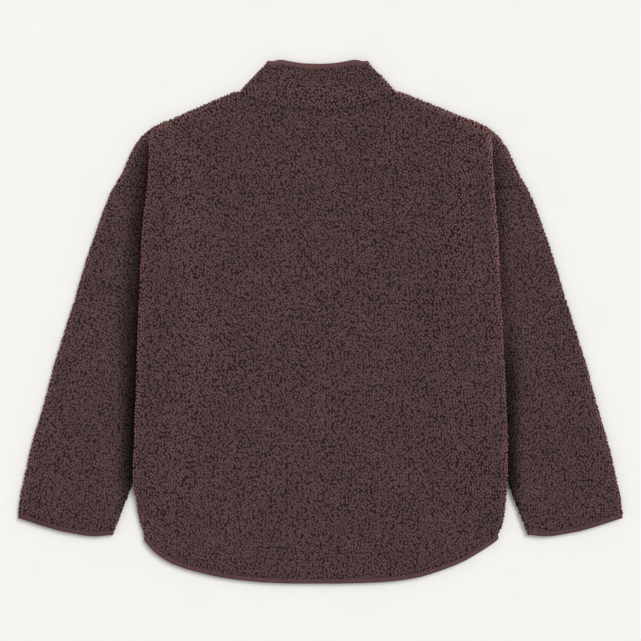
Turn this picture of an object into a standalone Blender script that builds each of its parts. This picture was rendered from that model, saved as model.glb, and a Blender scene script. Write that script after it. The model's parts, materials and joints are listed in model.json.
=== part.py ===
"""Sherpa jacket, laid flat on its front with its back upwards.

The cloth lies in layers. Both fronts are at the bottom, and the back lies on them. Each sleeve is a
flattened tube that turns in under the side of the body, so that a pleat runs from each shoulder corner
down the side of the back: its top edge is the fold that shows, and under it the back runs in again to
the armhole seam and, below the armhole, to the side seam.

Lengths are millimetres on the lying garment: x from its centre line, y from the middle of its length
towards the collar, z over the surface that it lies on. MM turns them to metres. "Across" is x without
its sign, so that a table serves both sides.
"""

import bmesh
import bpy
import numpy as np

MM = 0.001

# Cloth
CLOTH = 5.0  # sherpa wall: 1 mm of knit backing and 4 mm of curled pile
LAYER = 6.6  # from the middle of one lying layer to the middle of the next
TURN = LAYER / 2  # radius of a soft fold, in the middle of the wall
SEAM = 0.3  # left between sewn pieces
SIDE_SEAM, ARM_SEAM = 1.2, 0.6  # the same where the pieces meet at an angle
FLOOR_Z = CLOTH / 2  # middle of a layer that lies on the surface
BACK_Z = FLOOR_Z + LAYER  # middle of the layer that lies on that one
UNDER_Z = BACK_Z + LAYER  # where the back runs in under its own side fold
TOP_Z = UNDER_Z + LAYER  # where the back lies over the sleeve
EDGE = TURN + CLOTH / 2  # from the seen edge in to where a layer starts to turn down

SEAM_UPRIGHT = 0.6  # half of the upright stretch that the sleeve's seam lies in

# Bound edges: a flat tape folded over the cut edge
TAPE_WIDTH = 6.0
TAPE_THICK = 3.4
TAPE_ROUND = 1.1
TAPE_CLEAR = 0.72  # between the tape and the cloth, which turns away from it at the folds
TAPE_GAP = TAPE_WIDTH + TAPE_CLEAR
FLOOR_CLEAR = 0.3  # lowest that a tape reaches
TAPE_EASED = 3  # times that the tape's lie is evened out along its edge
CUFF_EASED = 16  # the same round a cuff
WELD = 0.02  # points closer than this are one
INWARDS = np.array([0.0, 10.0, 0.0])  # from a front's hem to a point just inside it

# Heights (y) between which the rows of the body lie
TIP_Y = 181.5  # armhole seam, under the side fold
UNDERARM_Y = -22.5
SIDE_Y = -224.0  # where the sleeve comes out from under the body
NECK_X = 106.0  # side of the neck, where the shoulder seam starts
NECK_Y = 312.0
NECK_MITRE = 2.6  # between the folds of the collar and the shoulder there, in the middle of the wall
NECK_SHIFT = -3.5  # the neck lies this far to the left of the hem's middle
SHIFT_FROM, SHIFT_OVER = 262.0, 50.0  # height at which that shift starts, and the length it grows over
ZIP_HALF = 7.0  # from the centre front to each front edge

# Closed zip: how far each piece reaches to the side of the centre front, and its lowest and highest point
TAPE_INNER, TAPE_OUTER, TAPE_LOW, TAPE_HIGH = 2.9, ZIP_HALF - SEAM, 1.9, 3.3
CHAIN_HALF, CHAIN_LOW, CHAIN_HIGH = 2.6, 1.7, 3.7
CHAIN_STOP = 3.0  # from the tapes' lower end up to the chain
PLATE_HALF, PLATE_LOW, PLATE_HIGH = 4.4, 0.4, 4.7  # slider, over both its plates
WEB_HALF, SLOT_LOW, SLOT_HIGH = 2.4, 1.5, 3.7  # its web, and the slots that the tapes run in
SLIDER_TOP, SLIDER_LONG = 4.0, 12.0  # from the tapes' upper end down to the slider, and its length
PULLER_HALF, PULLER_LOW, PULLER_HIGH, PULLER_LONG = 2.4, 0.3, 1.4, 24.0
ZIP_STEP = 6.0  # between its rings, where the front is drawn to the side

# Seen edge of the shoulder and the sleeve, from the cuff up to the neck
SIDE_LINE = np.array([
    # y,      across
    (-265.2, 417.3),
    (-246.3, 415.4),
    (-229.8, 412.0),
    (-196.7, 405.0),
    (-163.5, 396.8),
    (-130.4, 387.0),
    (-97.3, 377.4),
    (-64.0, 369.0),
    (-31.0, 358.8),
    (2.0, 348.5),
    (35.2, 338.0),
    (68.3, 328.4),
    (101.4, 318.0),
    (134.6, 306.4),
    (167.7, 294.0),
    (184.2, 286.6),
    (191.0, 282.6),
    (200.8, 276.2),
    (217.4, 268.6),
    (233.9, 261.0),
    (250.5, 250.5),
    (258.8, 243.8),
    (264.3, 237.4),
    (269.8, 226.8),
    (280.8, 201.6),
    (291.9, 176.0),
    (302.9, 150.5),
    (319.5, 109.5),
])

# Inner edge of the sleeve, most of it under the body
SLEEVE_INNER = np.array([
    # y,      across
    (-288.0, 283.8),
    (-262.0, 273.5),
    (-229.8, 261.2),
    (-160.0, 237.0),
    (-100.0, 215.0),
    (-25.5, 190.0),
])

# Side of the body. The back turns round the fold and runs in again under it to "run_end": below the
# armhole this is the side seam, above it the inner turn on to the sleeve. "lift" is where the back
# rises from the fronts to lie over the sleeve.
SIDE_COLUMNS = ("y", "fold_left", "fold_right", "run_end", "run_z", "lift_from", "lift_to", "top_z")
SIDE = np.array([
    (-301.5, 243.0, 244.2, 224.0, FLOOR_Z, 200.0, 236.0, BACK_Z),
    (-296.0, 243.8, 246.0, 224.5, FLOOR_Z, 200.0, 236.0, BACK_Z),
    (-279.5, 248.8, 252.0, 226.0, FLOOR_Z, 196.0, 238.0, BACK_Z),
    (-262.9, 251.8, 255.0, 227.0, FLOOR_Z, 190.0, 240.0, 10.4),
    (-246.3, 254.3, 256.4, 227.0, FLOOR_Z, 180.0, 242.0, 13.2),
    (-224.0, 257.2, 257.4, 225.0, FLOOR_Z, 168.0, 244.0, 17.6),
    (-200.0, 257.4, 257.4, 214.0, FLOOR_Z, 158.0, 242.0, 20.8),
    (-163.5, 255.7, 257.2, 201.0, FLOOR_Z, 150.0, 236.0, TOP_Z),
    (-108.3, 253.6, 255.2, 183.0, FLOOR_Z, 142.0, 218.0, TOP_Z),
    (-66.0, 252.4, 253.3, 164.0, FLOOR_Z, 138.0, 196.0, TOP_Z),
    (-42.0, 251.6, 251.6, 167.0, FLOOR_Z, 135.0, 190.0, TOP_Z),
    (UNDERARM_Y, 251.0, 250.5, 193.2, UNDER_Z, 134.0, 184.0, TOP_Z),
    (29.7, 248.8, 248.0, 203.6, UNDER_Z, 140.0, 193.0, TOP_Z),
    (126.3, 244.7, 243.2, 218.6, UNDER_Z, 154.0, 208.0, TOP_Z),
    (TIP_Y, 238.0, 239.0, 226.4, UNDER_Z, 166.0, 216.0, TOP_Z),
])

# The pleat closes to nothing from the armhole seam (up = 0) to the shoulder corner (up = 1).
PLEAT_COLUMNS = ("up", "turn_angle", "radius", "edge_left", "edge_right")
PLEAT = np.array([
    (0.00, 180.0, TURN, 238.0, 239.0),
    (0.30, 172.0, TURN, 236.5, 237.6),
    (0.55, 132.0, TURN, 235.6, 236.4),
    (0.80, 66.0, 4.6, 235.2, 235.6),
    (1.00, 18.0, 8.0, 235.0, 235.0),
])
PLEAT_RUN = 3.0  # flat stretch between its two turns, at the shoulder corner
PLEAT_CLOSES = (0.3, 0.8)  # shares of its height between which the back comes down beside it
YOKE_SLOPE = 60.0  # width over which the back comes down there
YOKE_HALF = 223.0  # across, to the last flat column at the shoulder corner
CORNER_X = 241.0  # where the outer edge of the dropped shoulder starts, at the shoulder corner
SHOULDER_REACH = 40.0  # how far below the armhole seam the shoulder's edge is still looked up

# Seen hem of the back, from its left fold to its right one
BACK_HEM = np.array([
    # x,       y
    (-243.0, -301.6),
    (-229.0, -317.8),
    (-209.6, -331.2),
    (-190.3, -339.3),
    (-171.0, -345.0),
    (-140.0, -352.1),
    (-112.0, -356.3),
    (-70.8, -360.0),
    (-30.0, -361.2),
    (20.0, -361.2),
    (60.0, -360.4),
    (94.0, -358.6),
    (132.6, -353.3),
    (163.8, -344.2),
    (196.0, -331.5),
    (215.4, -320.7),
    (234.9, -308.2),
    (244.5, -301.3),
])
SEWN_FLAT = 3.0  # how far the back runs in under the shoulder before its seam with the front
HEM_SIDE_RISE = 11.0  # how far the hem rises round the side fold and under it, to the side seam
HEM_SIDE_REACH = 24.0  # length of the hem over which it does
HEM_SIDE_ROW = 0.2  # share of that rise at which the heights of the side's rows start
HEM_CORNER_Y = -295.0  # first guess of the height where the hem meets the side fold
FOLD_OVER_HEM = 3.0  # the fold's place is read this far above the cut edge

# Hem of each front, from its side seam to the centre front. It rises into the same curve at the side.
FRONT_HEM = np.array([
    # across, y
    (0.0, -355.4),
    (60.0, -353.4),
    (105.0, -346.5),
    (150.0, -333.5),
    (180.0, -316.0),
    (204.0, -297.0),
    (224.0, -288.0),
])

NECK_BACK = np.array([
    # across, y
    (0.0, 290.5),
    (28.0, 291.8),
    (62.5, 298.0),
    (90.0, 306.4),
    (NECK_X, NECK_Y),
])
NECK_FRONT = np.array([
    # across, y
    (0.0, 231.4),
    (7.0, 231.8),
    (32.0, 236.5),
    (60.0, 249.0),
    (84.0, 270.0),
    (100.0, 295.0),
    (NECK_X, NECK_Y),
])

# Collar: its top edge, which dips at the centre back and drops well below that at the front
COLLAR_TOP_X = 65.6
COLLAR_TOP_Y = 355.0
COLLAR_BACK_TOP = np.array([
    # across, y
    (0.0, 348.0),
    (20.0, 348.8),
    (40.0, 351.6),
    (54.0, 354.0),
    (COLLAR_TOP_X, COLLAR_TOP_Y),
])
COLLAR_FRONT_TOP = np.array([
    # across, y
    (0.0, 292.5),
    (7.0, 293.0),
    (28.0, 298.0),
    (46.0, 315.0),
    (58.0, 338.0),
    (COLLAR_TOP_X, COLLAR_TOP_Y),
])
COLLAR_ROLL = 3.0  # how far the collar bulges just over its seam
COLLAR_ROLL_HIGH = 0.44  # share of its height that the bulge takes
COLLAR_SAG = 2.6  # how far its upper edge sinks at the centre back
COLLAR_SAG_FROM = 0.3  # share of its height at which it starts to sink
COLLAR_SIDE = np.array([1.0, 0.1])  # direction of its side fold, at the top edge
COLLAR_FADE = 1.6  # how soon bulge and sag grow, in from the side fold: 1 is the whole way

# Armhole seam between the sleeve and the body, from the outer edge down to the underarm
TIP_SIDE_Y = 190.8  # height of its outer end on the seen edge
HIDDEN_FROM = 0.3  # share of the back's seam that shows, beside the side fold
CUFF_INSIDE = 1.0  # how far the sleeve's cut edge stays above the end of its edge line

# How far the cuff hangs below the straight line between its two corners
CUFF_DIP = np.array([
    # along, dip
    (0.00, 0.0),
    (0.14, 2.5),
    (0.30, 5.3),
    (0.50, 7.2),
    (0.70, 7.2),
    (0.83, 5.6),
    (0.93, 2.6),
    (1.00, 0.0),
])
ARMHOLE_FRONT = np.array([
    # down, across, y
    (0.00, 277.6, 186.4),
    (0.20, 264.0, 150.0),
    (0.45, 245.0, 96.0),
    (0.70, 223.0, 38.0),
    (0.88, 205.0, -4.0),
    (1.00, 194.8, -23.6),
])

UNDERARM_FRONT = np.array([187.5, -26.0])  # corner of the front there, clear of the sleeve's turn
FRONT_ARM_SEAM = SEAM + 0.1  # left along the front's curved armhole, where its points are sparse
FRONT_CORNER = 1.5  # how far the front's shoulder corner stays from the armhole's end

# Soft ridges (+) and troughs (-) of the lying cloth. They fade out over these lengths at the side of
# the body and at its shoulders, and over these shares of the sleeve at its two ends.
FADE_SIDE, FADE_TOP = 24.0, 20.0
SLEEVE_FADE_TOP, SLEEVE_FADE_CUFF = 0.1, 0.06
FOLD_COLUMNS = ("x", "y", "turn", "long", "wide", "high")
BACK_FOLDS = (
    (176.0, 80.0, 84.0, 95.0, 20.0, -1.3),
    (128.0, -95.0, 86.0, 120.0, 26.0, 1.2),
    (-128.0, -70.0, 62.0, 120.0, 40.0, -1.1),
    (20.0, 60.0, 90.0, 120.0, 60.0, 1.4),
    (-60.0, -190.0, 12.0, 120.0, 34.0, 1.0),
    (70.0, -240.0, -10.0, 110.0, 30.0, -0.9),
    (-90.0, 180.0, 25.0, 110.0, 34.0, -1.0),
    (90.0, 210.0, -28.0, 100.0, 30.0, 1.0),
)
SLEEVE_FOLDS = (
    (-272.0, 40.0, 72.0, 150.0, 16.0, -1.0),
    (-330.0, -120.0, 70.0, 110.0, 26.0, 1.2),
    (-300.0, 120.0, 60.0, 60.0, 18.0, 1.0),
    (270.0, -80.0, 98.0, 90.0, 12.0, -1.1),
    (296.0, -110.0, 100.0, 110.0, 15.0, 1.4),
    (262.0, 150.0, -60.0, 45.0, 12.0, 1.1),
    (340.0, -30.0, 108.0, 120.0, 22.0, 0.9),
)

# Number of cells across each stretch of cloth
NECK_CELLS, SHOULDER_CELLS, FOLD_CELLS, RAMP_CELLS = 6, 6, 5, 4
PLEAT_CELLS, DROP_CELLS, WRAP_CELLS = 5, 3, 6
HEM_ROWS, SIDE_ROWS, ARMHOLE_ROWS, YOKE_ROWS = 3, 5, 6, 5
BELOW_ARM = 0.903  # row just below the underarm, where the back has already come down to the fronts
SLEEVE_SEEN_CELLS, SLEEVE_ROWS = 3, 12
FRONT_HEM_CELLS = 9
DROP_FLAT = 0.04  # share of the dropped shoulder next to its pleat that is kept flat for the seam
RAMP_FROM, RAMP_TO = 0.25, 0.88  # share of the run under the side fold where it slopes to the fronts
RAMP_CLEAR, RAMP_INSIDE = 1.0, 2.0  # least from the slope's start to the sleeve, and to the side fold
RAMP_LEAST = 8.0  # least length of the slope
EDGE_SAMPLES = 400  # points in which the shoulder's edge is looked up
GUESSES = 8  # rounds that find the hem's corner
COLLAR_STATIONS = (0.0, 0.08, 0.3, 0.55, 0.8, 1.0)  # rows of the collar, up from its seam


def curve(table, at, column=1):
    """A smooth line through a table's rows that never overshoots them. The first column rises."""
    x, y = table[:, 0], table[:, column]
    slope = np.diff(y) / np.diff(x)
    inner = np.zeros(len(x) - 2)
    same_way = slope[:-1] * slope[1:] > 0
    inner[same_way] = 2 / (1 / slope[:-1][same_way] + 1 / slope[1:][same_way])
    tangent = np.concatenate([slope[:1], inner, slope[-1:]])
    at = np.clip(at, x[0], x[-1])
    k = np.clip(np.searchsorted(x, at) - 1, 0, len(x) - 2)
    step = x[k + 1] - x[k]
    t = (at - x[k]) / step
    rise = (2 * t**3 - 3 * t**2 + 1) * y[k] + (3 * t**2 - 2 * t**3) * y[k + 1]
    return rise + step * ((t**3 - 2 * t**2 + t) * tangent[k] + (t**3 - t**2) * tangent[k + 1])


def ease(t):
    """0 up to t = 0, 1 from t = 1, and smooth between."""
    t = np.clip(t, 0.0, 1.0)
    return t * t * (3 - 2 * t)


def mix(a, b, t):
    return a + (b - a) * t


def side(column, y):
    return curve(SIDE, y, SIDE_COLUMNS.index(column))


def pleat(column, up):
    return curve(PLEAT, up, PLEAT_COLUMNS.index(column))


def relief(folds, x, y):
    """Height that the soft ridges and troughs add."""
    height = np.zeros_like(x)
    for fold in folds:
        f = dict(zip(FOLD_COLUMNS, fold))
        turn = np.radians(f["turn"])
        along = (x - f["x"]) * np.cos(turn) + (y - f["y"]) * np.sin(turn)
        over = (y - f["y"]) * np.cos(turn) - (x - f["x"]) * np.sin(turn)
        height += f["high"] * np.exp(-((along / f["long"]) ** 2) - (over / f["wide"]) ** 2)
    return height


def edge_line(table, y, inset, outwards):
    """Points on a seen edge, moved in by inset, and the direction that faces away from the cloth."""
    small = 0.5
    slope = (curve(table, y + small) - curve(table, y - small)) / (2 * small)
    length = np.sqrt(1 + slope**2)
    away = outwards * np.stack([1 / length, -slope / length], axis=-1)
    return np.stack([curve(table, y), y], axis=-1) - inset * away, away


def neck_clear():
    """Shift that keeps the collar's side fold clear of the shoulder's edge, at an angle to it."""
    away = neck_side()
    return NECK_MITRE * np.array([-away[1], away[0]])


def shoulder_y(across):
    """y of the line where the back starts to turn down at the shoulder."""
    heights = np.linspace(SIDE_LINE[-1, 0], TIP_Y - SHOULDER_REACH, EDGE_SAMPLES)
    points, _ = edge_line(SIDE_LINE, heights, EDGE, 1)
    return np.interp(across, points[:, 0], points[:, 1])


def armhole_tip():
    """Where the armhole seam meets the turn of the outer edge, and the direction out of the cloth."""
    points, away = edge_line(SIDE_LINE, np.array([TIP_SIDE_Y]), EDGE, 1)
    return points[0], away[0]


def neck_side():
    """Direction out of the cloth at the side of the neck."""
    _, away = edge_line(SIDE_LINE, SIDE_LINE[-1:, 0], EDGE, 1)
    return away[0]


def placed(x, y, z):
    """The points, with the neck drawn to its side."""
    x, y, z = np.broadcast_arrays(x, y, z)
    return np.stack([x + NECK_SHIFT * ease((y - SHIFT_FROM) / SHIFT_OVER), y, z], axis=-1)


def offset_line(points, distance):
    """A line in plan, moved to the left of its own direction."""
    along = np.gradient(points, axis=0)
    along /= np.linalg.norm(along, axis=1, keepdims=True)
    return points + distance * np.stack([-along[:, 1], along[:, 0]], axis=-1)


# ---- The back ----
# Its columns are numbered from the centre: 0 to 1 lies on the fronts (0.5 is the side of the neck),
# 1 to 2 is the side fold, 2 to 3 the run under it, 3 to 4 the pleat's inner turn and 4 to 5 the dropped
# shoulder, both of these above the armhole seam alone. Its rows go from the hem (0) past the sleeve's
# way out (1), the underarm (2) and the armhole seam (3) to the neck and the shoulder (4).


def sewn_flat():
    """Width of the narrow flat stretch that the back's hidden armhole seam ends in."""
    return DROP_FLAT * (armhole_tip()[0][0] - side("run_end", TIP_Y))


def fold_x(sign, y):
    """Across, to the middle of the wall at the side fold."""
    return np.where(sign < 0, side("fold_left", y), side("fold_right", y)) - CLOTH / 2


def hem_y(x):
    """Cut edge of the back at the hem, a tape's width above the seen edge."""
    slope = (curve(BACK_HEM, x + 1) - curve(BACK_HEM, x - 1)) / 2
    return curve(BACK_HEM, x) + TAPE_GAP * np.sqrt(1 + slope**2)


def hem_corner(sign):
    """(across, y) of the cut edge where the side fold starts, found along the fold itself."""
    y = np.full_like(sign, HEM_CORNER_Y)
    for _ in range(GUESSES):
        across = fold_x(sign, y + FOLD_OVER_HEM) - TURN
        y = hem_y(sign * across)
    return across, y


def body_rows(sign, row):
    """(row height at the side fold, share of the yoke) for each point."""
    _, corner_y = hem_corner(sign)
    marks = [corner_y + HEM_SIDE_RISE * HEM_SIDE_ROW, SIDE_Y, UNDERARM_Y, TIP_Y]
    y = mix(marks[0], marks[1], np.clip(row, 0, 1))
    y = np.where(row > 1, mix(marks[1], marks[2], row - 1), y)
    y = np.where(row > 2, mix(marks[2], marks[3], np.minimum(row - 2, 1)), y)
    return y, np.clip(row - 3, 0, 1)


def back_point(sign, column, row):
    """Middle of the back's wall, for arrays of side (-1 or 1), column and row."""
    y_side, up = body_rows(sign, row)
    yoke = row > 3
    angle = np.where(yoke, np.radians(pleat("turn_angle", up)), np.pi)
    radius = np.where(yoke, pleat("radius", up), TURN)
    seen = np.where(sign < 0, pleat("edge_left", up), pleat("edge_right", up))
    start = np.where(yoke, seen - CLOTH / 2, fold_x(sign, y_side)) - radius
    run_end = side("run_end", y_side)
    run = mix(start - run_end, PLEAT_RUN, ease(2 * up))
    drop = 2 * radius * (1 - np.cos(angle)) + run * np.sin(angle)
    top = np.where(yoke, BACK_Z + drop, side("top_z", y_side))

    # side fold
    turned = np.clip(column - 1, 0, 1) * angle
    x = start + radius * np.sin(turned)
    z = top - radius * (1 - np.cos(turned))
    # run under the fold, down to the fronts below the armhole
    q = np.clip(column - 2, 0, 1)
    beside_sleeve = curve(SLEEVE_INNER, y_side) - RAMP_CLEAR
    ramp_from = np.maximum(np.minimum(start - RAMP_INSIDE, beside_sleeve), run_end + RAMP_LEAST)
    even = np.clip((row - 2) * ARMHOLE_ROWS, 0, 1)
    ramp_from = mix(ramp_from, mix(start, run_end, RAMP_FROM), even)
    run_x = mix(start, ramp_from, np.clip(q / RAMP_FROM, 0, 1))
    run_x = np.where(q > RAMP_FROM, mix(ramp_from, run_end, (q - RAMP_FROM) / (1 - RAMP_FROM)), run_x)
    under = top - 2 * TURN
    slope = ease((q - RAMP_FROM) / (RAMP_TO - RAMP_FROM))
    run_z = mix(under, np.minimum(side("run_z", y_side), under), slope)
    pleat_x = start + radius * np.sin(angle) + q * run * np.cos(angle)
    pleat_z = top - radius * (1 - np.cos(angle)) - q * run * np.sin(angle)
    x = np.where(column > 2, np.where(yoke, pleat_x, run_x), x)
    z = np.where(column > 2, np.where(yoke, pleat_z, run_z), z)
    # inner turn, on to the dropped shoulder or the sleeve
    left = angle * np.clip(4 - column, 0, 1)
    turn_x = np.where(yoke, pleat_x, run_end)
    x = np.where(column > 3, turn_x + radius * (np.sin(angle) - np.sin(left)), x)
    z = np.where(column > 3, pleat_z - radius * (np.cos(left) - np.cos(angle)), z)
    # main part
    neck_column = NECK_X / YOKE_HALF
    m = np.where(column < 0.5, 2 * column * neck_column, mix(neck_column, 1, 2 * column - 1))
    x = np.where(column < 1, m * start, x)
    neck_x = np.where(column <= 0.5, 2 * column * NECK_X, mix(NECK_X, start, 2 * column - 1))
    x = np.where((column < 1) & yoke, mix(x, neck_x, up), x)

    # heights of the rows
    across, corner_y = hem_corner(sign)
    past = TURN * np.pi * np.clip(column - 1, 0, 1) + across - np.where(column > 2, run_x, across)
    rise = HEM_SIDE_RISE * np.sin(np.pi / 2 * np.clip(past / HEM_SIDE_REACH, 0, 1))
    hem = np.where(column < 1, hem_y(sign * m * across), corner_y + rise)
    y = np.where(row < 1, mix(hem, SIDE_Y, row), y_side)
    reached = np.where(column <= 0.5, curve(NECK_BACK, x) - SEAM / 2, shoulder_y(x))
    y = np.where(yoke, mix(TIP_Y, reached, up), y)

    # dropped shoulder, from the pleat out to the edge
    tip, _ = armhole_tip()
    outer_x = mix(tip[0], CORNER_X, up)
    outer_y = shoulder_y(outer_x)
    share = np.clip(column - 4, 0, 1)
    base_y = mix(TIP_Y, shoulder_y(x), up)
    y = np.where((column > 4) & (row >= 3), mix(base_y, outer_y, share), y)
    x = np.where(column > 4, mix(x, outer_x, share), x)
    x = np.where((column > 4) & (row < 3), run_end + sewn_flat(), x)

    # the back rises to lie over the sleeve
    closing = ease((up - PLEAT_CLOSES[0]) / (PLEAT_CLOSES[1] - PLEAT_CLOSES[0]))
    lift_from = mix(side("lift_from", y_side), start - YOKE_SLOPE, closing)
    lift_to = mix(np.minimum(side("lift_to", y_side), start), start, closing)
    flat = BACK_Z + (top - BACK_Z) * ease((x - lift_from) / (lift_to - lift_from))
    inside = ease((start - x) / FADE_SIDE) * ease((reached - y) / FADE_TOP)
    soft = relief(BACK_FOLDS, sign * x, y) * np.where(column < 1, inside, 0)
    z = np.where(column < 1, flat + soft, z)
    return placed(sign * x, y, z)


def turned_edge(points, steps, sign):
    """Rows that carry the shoulder's edge round and under it, with a short flat end to sew, and the
    direction out of the cloth at each of its points."""
    _, away = edge_line(SIDE_LINE, points[:, 1], EDGE, 1)
    away[-1] = armhole_tip()[1]
    away = away * [sign, 1]
    radius = (points[:, 2] - FLOOR_Z) / 2
    rows = []
    for step in range(steps + 2):
        angle = np.pi * min(step / steps, 1)
        out = radius * np.sin(angle) - SEWN_FLAT * (step > steps)
        height = FLOOR_Z + radius * (1 + np.cos(angle))
        rows.append(np.column_stack([points[:, :2] + away * out[:, None], height]))
    return np.array(rows), away


def stretches(*stops):
    """Stations through (end, cells) stretches, from 0 or from the first stop's own start."""
    start, found = stops[0], [stops[0]]
    for end, cells in stops[1:]:
        found += list(np.linspace(start, end, cells + 1)[1:])
        start = end
    return np.array(found)


def run_columns():
    return 2 + stretches(0.0, (RAMP_FROM, 1), (RAMP_TO, RAMP_CELLS), (1, 1))


def body_columns():
    over = stretches(0.0, (0.5, NECK_CELLS), (1, SHOULDER_CELLS), (2, FOLD_CELLS))
    return np.concatenate([over, run_columns()[1:]])


def body_row_stations():
    below = (1 + BELOW_ARM, SIDE_ROWS)
    return stretches(0.0, (1, HEM_ROWS), below, (2, 1), (3, ARMHOLE_ROWS), (4, YOKE_ROWS))


def drop_columns():
    """The pleat's inner turn and the dropped shoulder."""
    return stretches(3.0, (4, PLEAT_CELLS), (4 + DROP_FLAT, 1), (5, DROP_CELLS))


def add_sheet(bm, points):
    """A grid of the operator, laid on the points (rows, columns, 3) of a stretch of cloth."""
    rows, columns = points.shape[:2]
    made = bmesh.ops.create_grid(bm, x_segments=columns - 1, y_segments=rows - 1, size=0.5)
    for vert, point in zip(made["verts"], points.reshape(-1, 3)):
        vert.co = point * MM


def surface(place, sign, columns, rows):
    c, r = np.meshgrid(columns, rows)
    return place(np.full(c.shape, float(sign)), c, r)


def shoulder_stations():
    """(column, row) along the back's shoulder edge, from the neck to the armhole seam."""
    along = stretches(0.5, (1, SHOULDER_CELLS), (2, FOLD_CELLS))
    along = np.concatenate([along, run_columns()[1:], drop_columns()[1:]])
    down = stretches(4.0, (3, YOKE_ROWS))[1:]
    columns = np.concatenate([along, np.full(len(down), 5.0)])
    return columns, np.concatenate([np.full(len(along), 4.0), down])


def shoulder_edge(sign):
    columns, rows = shoulder_stations()
    return back_point(np.full(columns.shape, float(sign)), columns, rows)


def back_sheets():
    """Every stretch of the back, as grids of points."""
    columns, rows = body_columns(), body_row_stations()
    yoke = rows[rows >= 3]
    turn = drop_columns()[: PLEAT_CELLS + 2]
    sheets = []
    for sign in (-1, 1):
        sheets.append(surface(back_point, sign, columns[columns <= 2], rows))
        sheets.append(surface(back_point, sign, run_columns(), rows[rows <= 3]))
        sheets.append(surface(back_point, sign, turn, rows[(rows >= 2) & (rows <= 3)]))
        sheets.append(surface(back_point, sign, run_columns(), yoke))
        sheets.append(surface(back_point, sign, drop_columns(), yoke))
        sheets.append(turned_edge(shoulder_edge(sign), WRAP_CELLS, sign)[0])
    return sheets


# ---- The sleeves ----


def armhole_front(down):
    """Armhole seam of the front, from the outer edge down to the underarm."""
    table = ARMHOLE_FRONT.copy()
    table[0, 1:], _ = armhole_tip()
    return np.stack([curve(table, down), curve(table, down, 2)], axis=-1)


def armhole_back(down):
    """Armhole seam of the back: the stretch that shows, then the one under the side fold."""
    tip, _ = armhole_tip()
    y = mix(TIP_Y, UNDERARM_Y, (down - HIDDEN_FROM) / (1 - HIDDEN_FROM))
    hidden = np.stack([side("run_end", y) + sewn_flat() + SEAM, y + SEAM], axis=-1)
    inner = np.array([side("run_end", TIP_Y) + sewn_flat() + SEAM, TIP_Y])
    seen = mix(tip, inner, np.clip(down / HIDDEN_FROM, 0, 1)[:, None])
    return np.where(down[:, None] <= HIDDEN_FROM, seen, hidden)


def coons(bottom, top, left, right, s, t):
    """Grid of points between four edges: s runs along bottom and top, t along left and right."""
    s, t = s[None, :, None], t[:, None, None]
    across = mix(left[:, None], right[:, None], s)
    along = mix(bottom[None], top[None], t)
    corners = mix(mix(bottom[0], bottom[-1], s), mix(top[0], top[-1], s), t)
    return across + along - corners


def sleeve_stations():
    along = stretches(0.0, (HIDDEN_FROM, SLEEVE_SEEN_CELLS), (1, ARMHOLE_ROWS))
    return along, np.linspace(0, 1, SLEEVE_ROWS + 1)


def sleeve_rings(sign, along, down, turn_cells):
    """The sleeve as one grid: a row for each ring, from the underarm seam over the upper layer, round
    the outer edge and back under it to the seam."""
    tip, _ = armhole_tip()
    outer_y = mix(TIP_SIDE_Y, SIDE_LINE[0, 0] + CUFF_INSIDE, down)
    outer, outer_away = edge_line(SIDE_LINE, outer_y, EDGE, 1)
    inner_y = mix(SLEEVE_INNER[-1, 0], SLEEVE_INNER[0, 0], down)
    inner, inner_away = edge_line(SLEEVE_INNER, inner_y, EDGE, -1)
    cuff = mix(outer[-1], inner[-1], along[:, None])
    cuff[:, 1] -= curve(CUFF_DIP, along)
    layers = []
    for seam, layer_z in ((armhole_back(along), BACK_Z), (armhole_front(along), FLOOR_Z)):
        seam[0], seam[-1] = tip, inner[0]
        flat = coons(seam, cuff, outer, inner, along, down)
        flat[..., 1] -= ARM_SEAM
        layers.append(np.dstack([flat, np.full(flat.shape[:2], layer_z)]))
    upper, lower = layers
    ends = ease(down / SLEEVE_FADE_TOP) * ease((1 - down) / SLEEVE_FADE_CUFF)
    inside = ease(4 * along * (1 - along))[None] * ends[:, None]
    upper[..., 2] += relief(SLEEVE_FOLDS, sign * upper[..., 0], upper[..., 1]) * inside

    def turn(edge, away, out, height):
        plan = edge[:, None, :] + away[:, None, :] * out[None, :, None]
        plan[..., 1] -= ARM_SEAM
        return np.dstack([plan, np.broadcast_to(height, plan.shape[:2])])

    # The seam lies in the middle of the inner turn, between short upright ends.
    middle = (FLOOR_Z + BACK_Z) / 2
    quarter = np.linspace(np.pi / 2, 0, turn_cells // 2 + 1)
    out = np.concatenate([[TURN], TURN * np.sin(quarter)])
    rise = np.concatenate([[SEAM / 2], SEAM_UPRIGHT + (TURN - SEAM_UPRIGHT) * np.cos(quarter)])
    half = np.linspace(0, np.pi, turn_cells + 1)
    ring = [
        turn(inner, inner_away, out, middle + rise)[:, :-1],
        upper[:, ::-1],
        turn(outer, outer_away, TURN * np.sin(half), middle + TURN * np.cos(half))[:, 1:-1],
        lower,
        turn(inner, inner_away, out, middle - rise)[:, ::-1][:, 1:],
    ]
    points = np.concatenate(ring, axis=1)
    return placed(sign * points[..., 0], points[..., 1], points[..., 2])


# ---- The fronts ----


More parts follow.
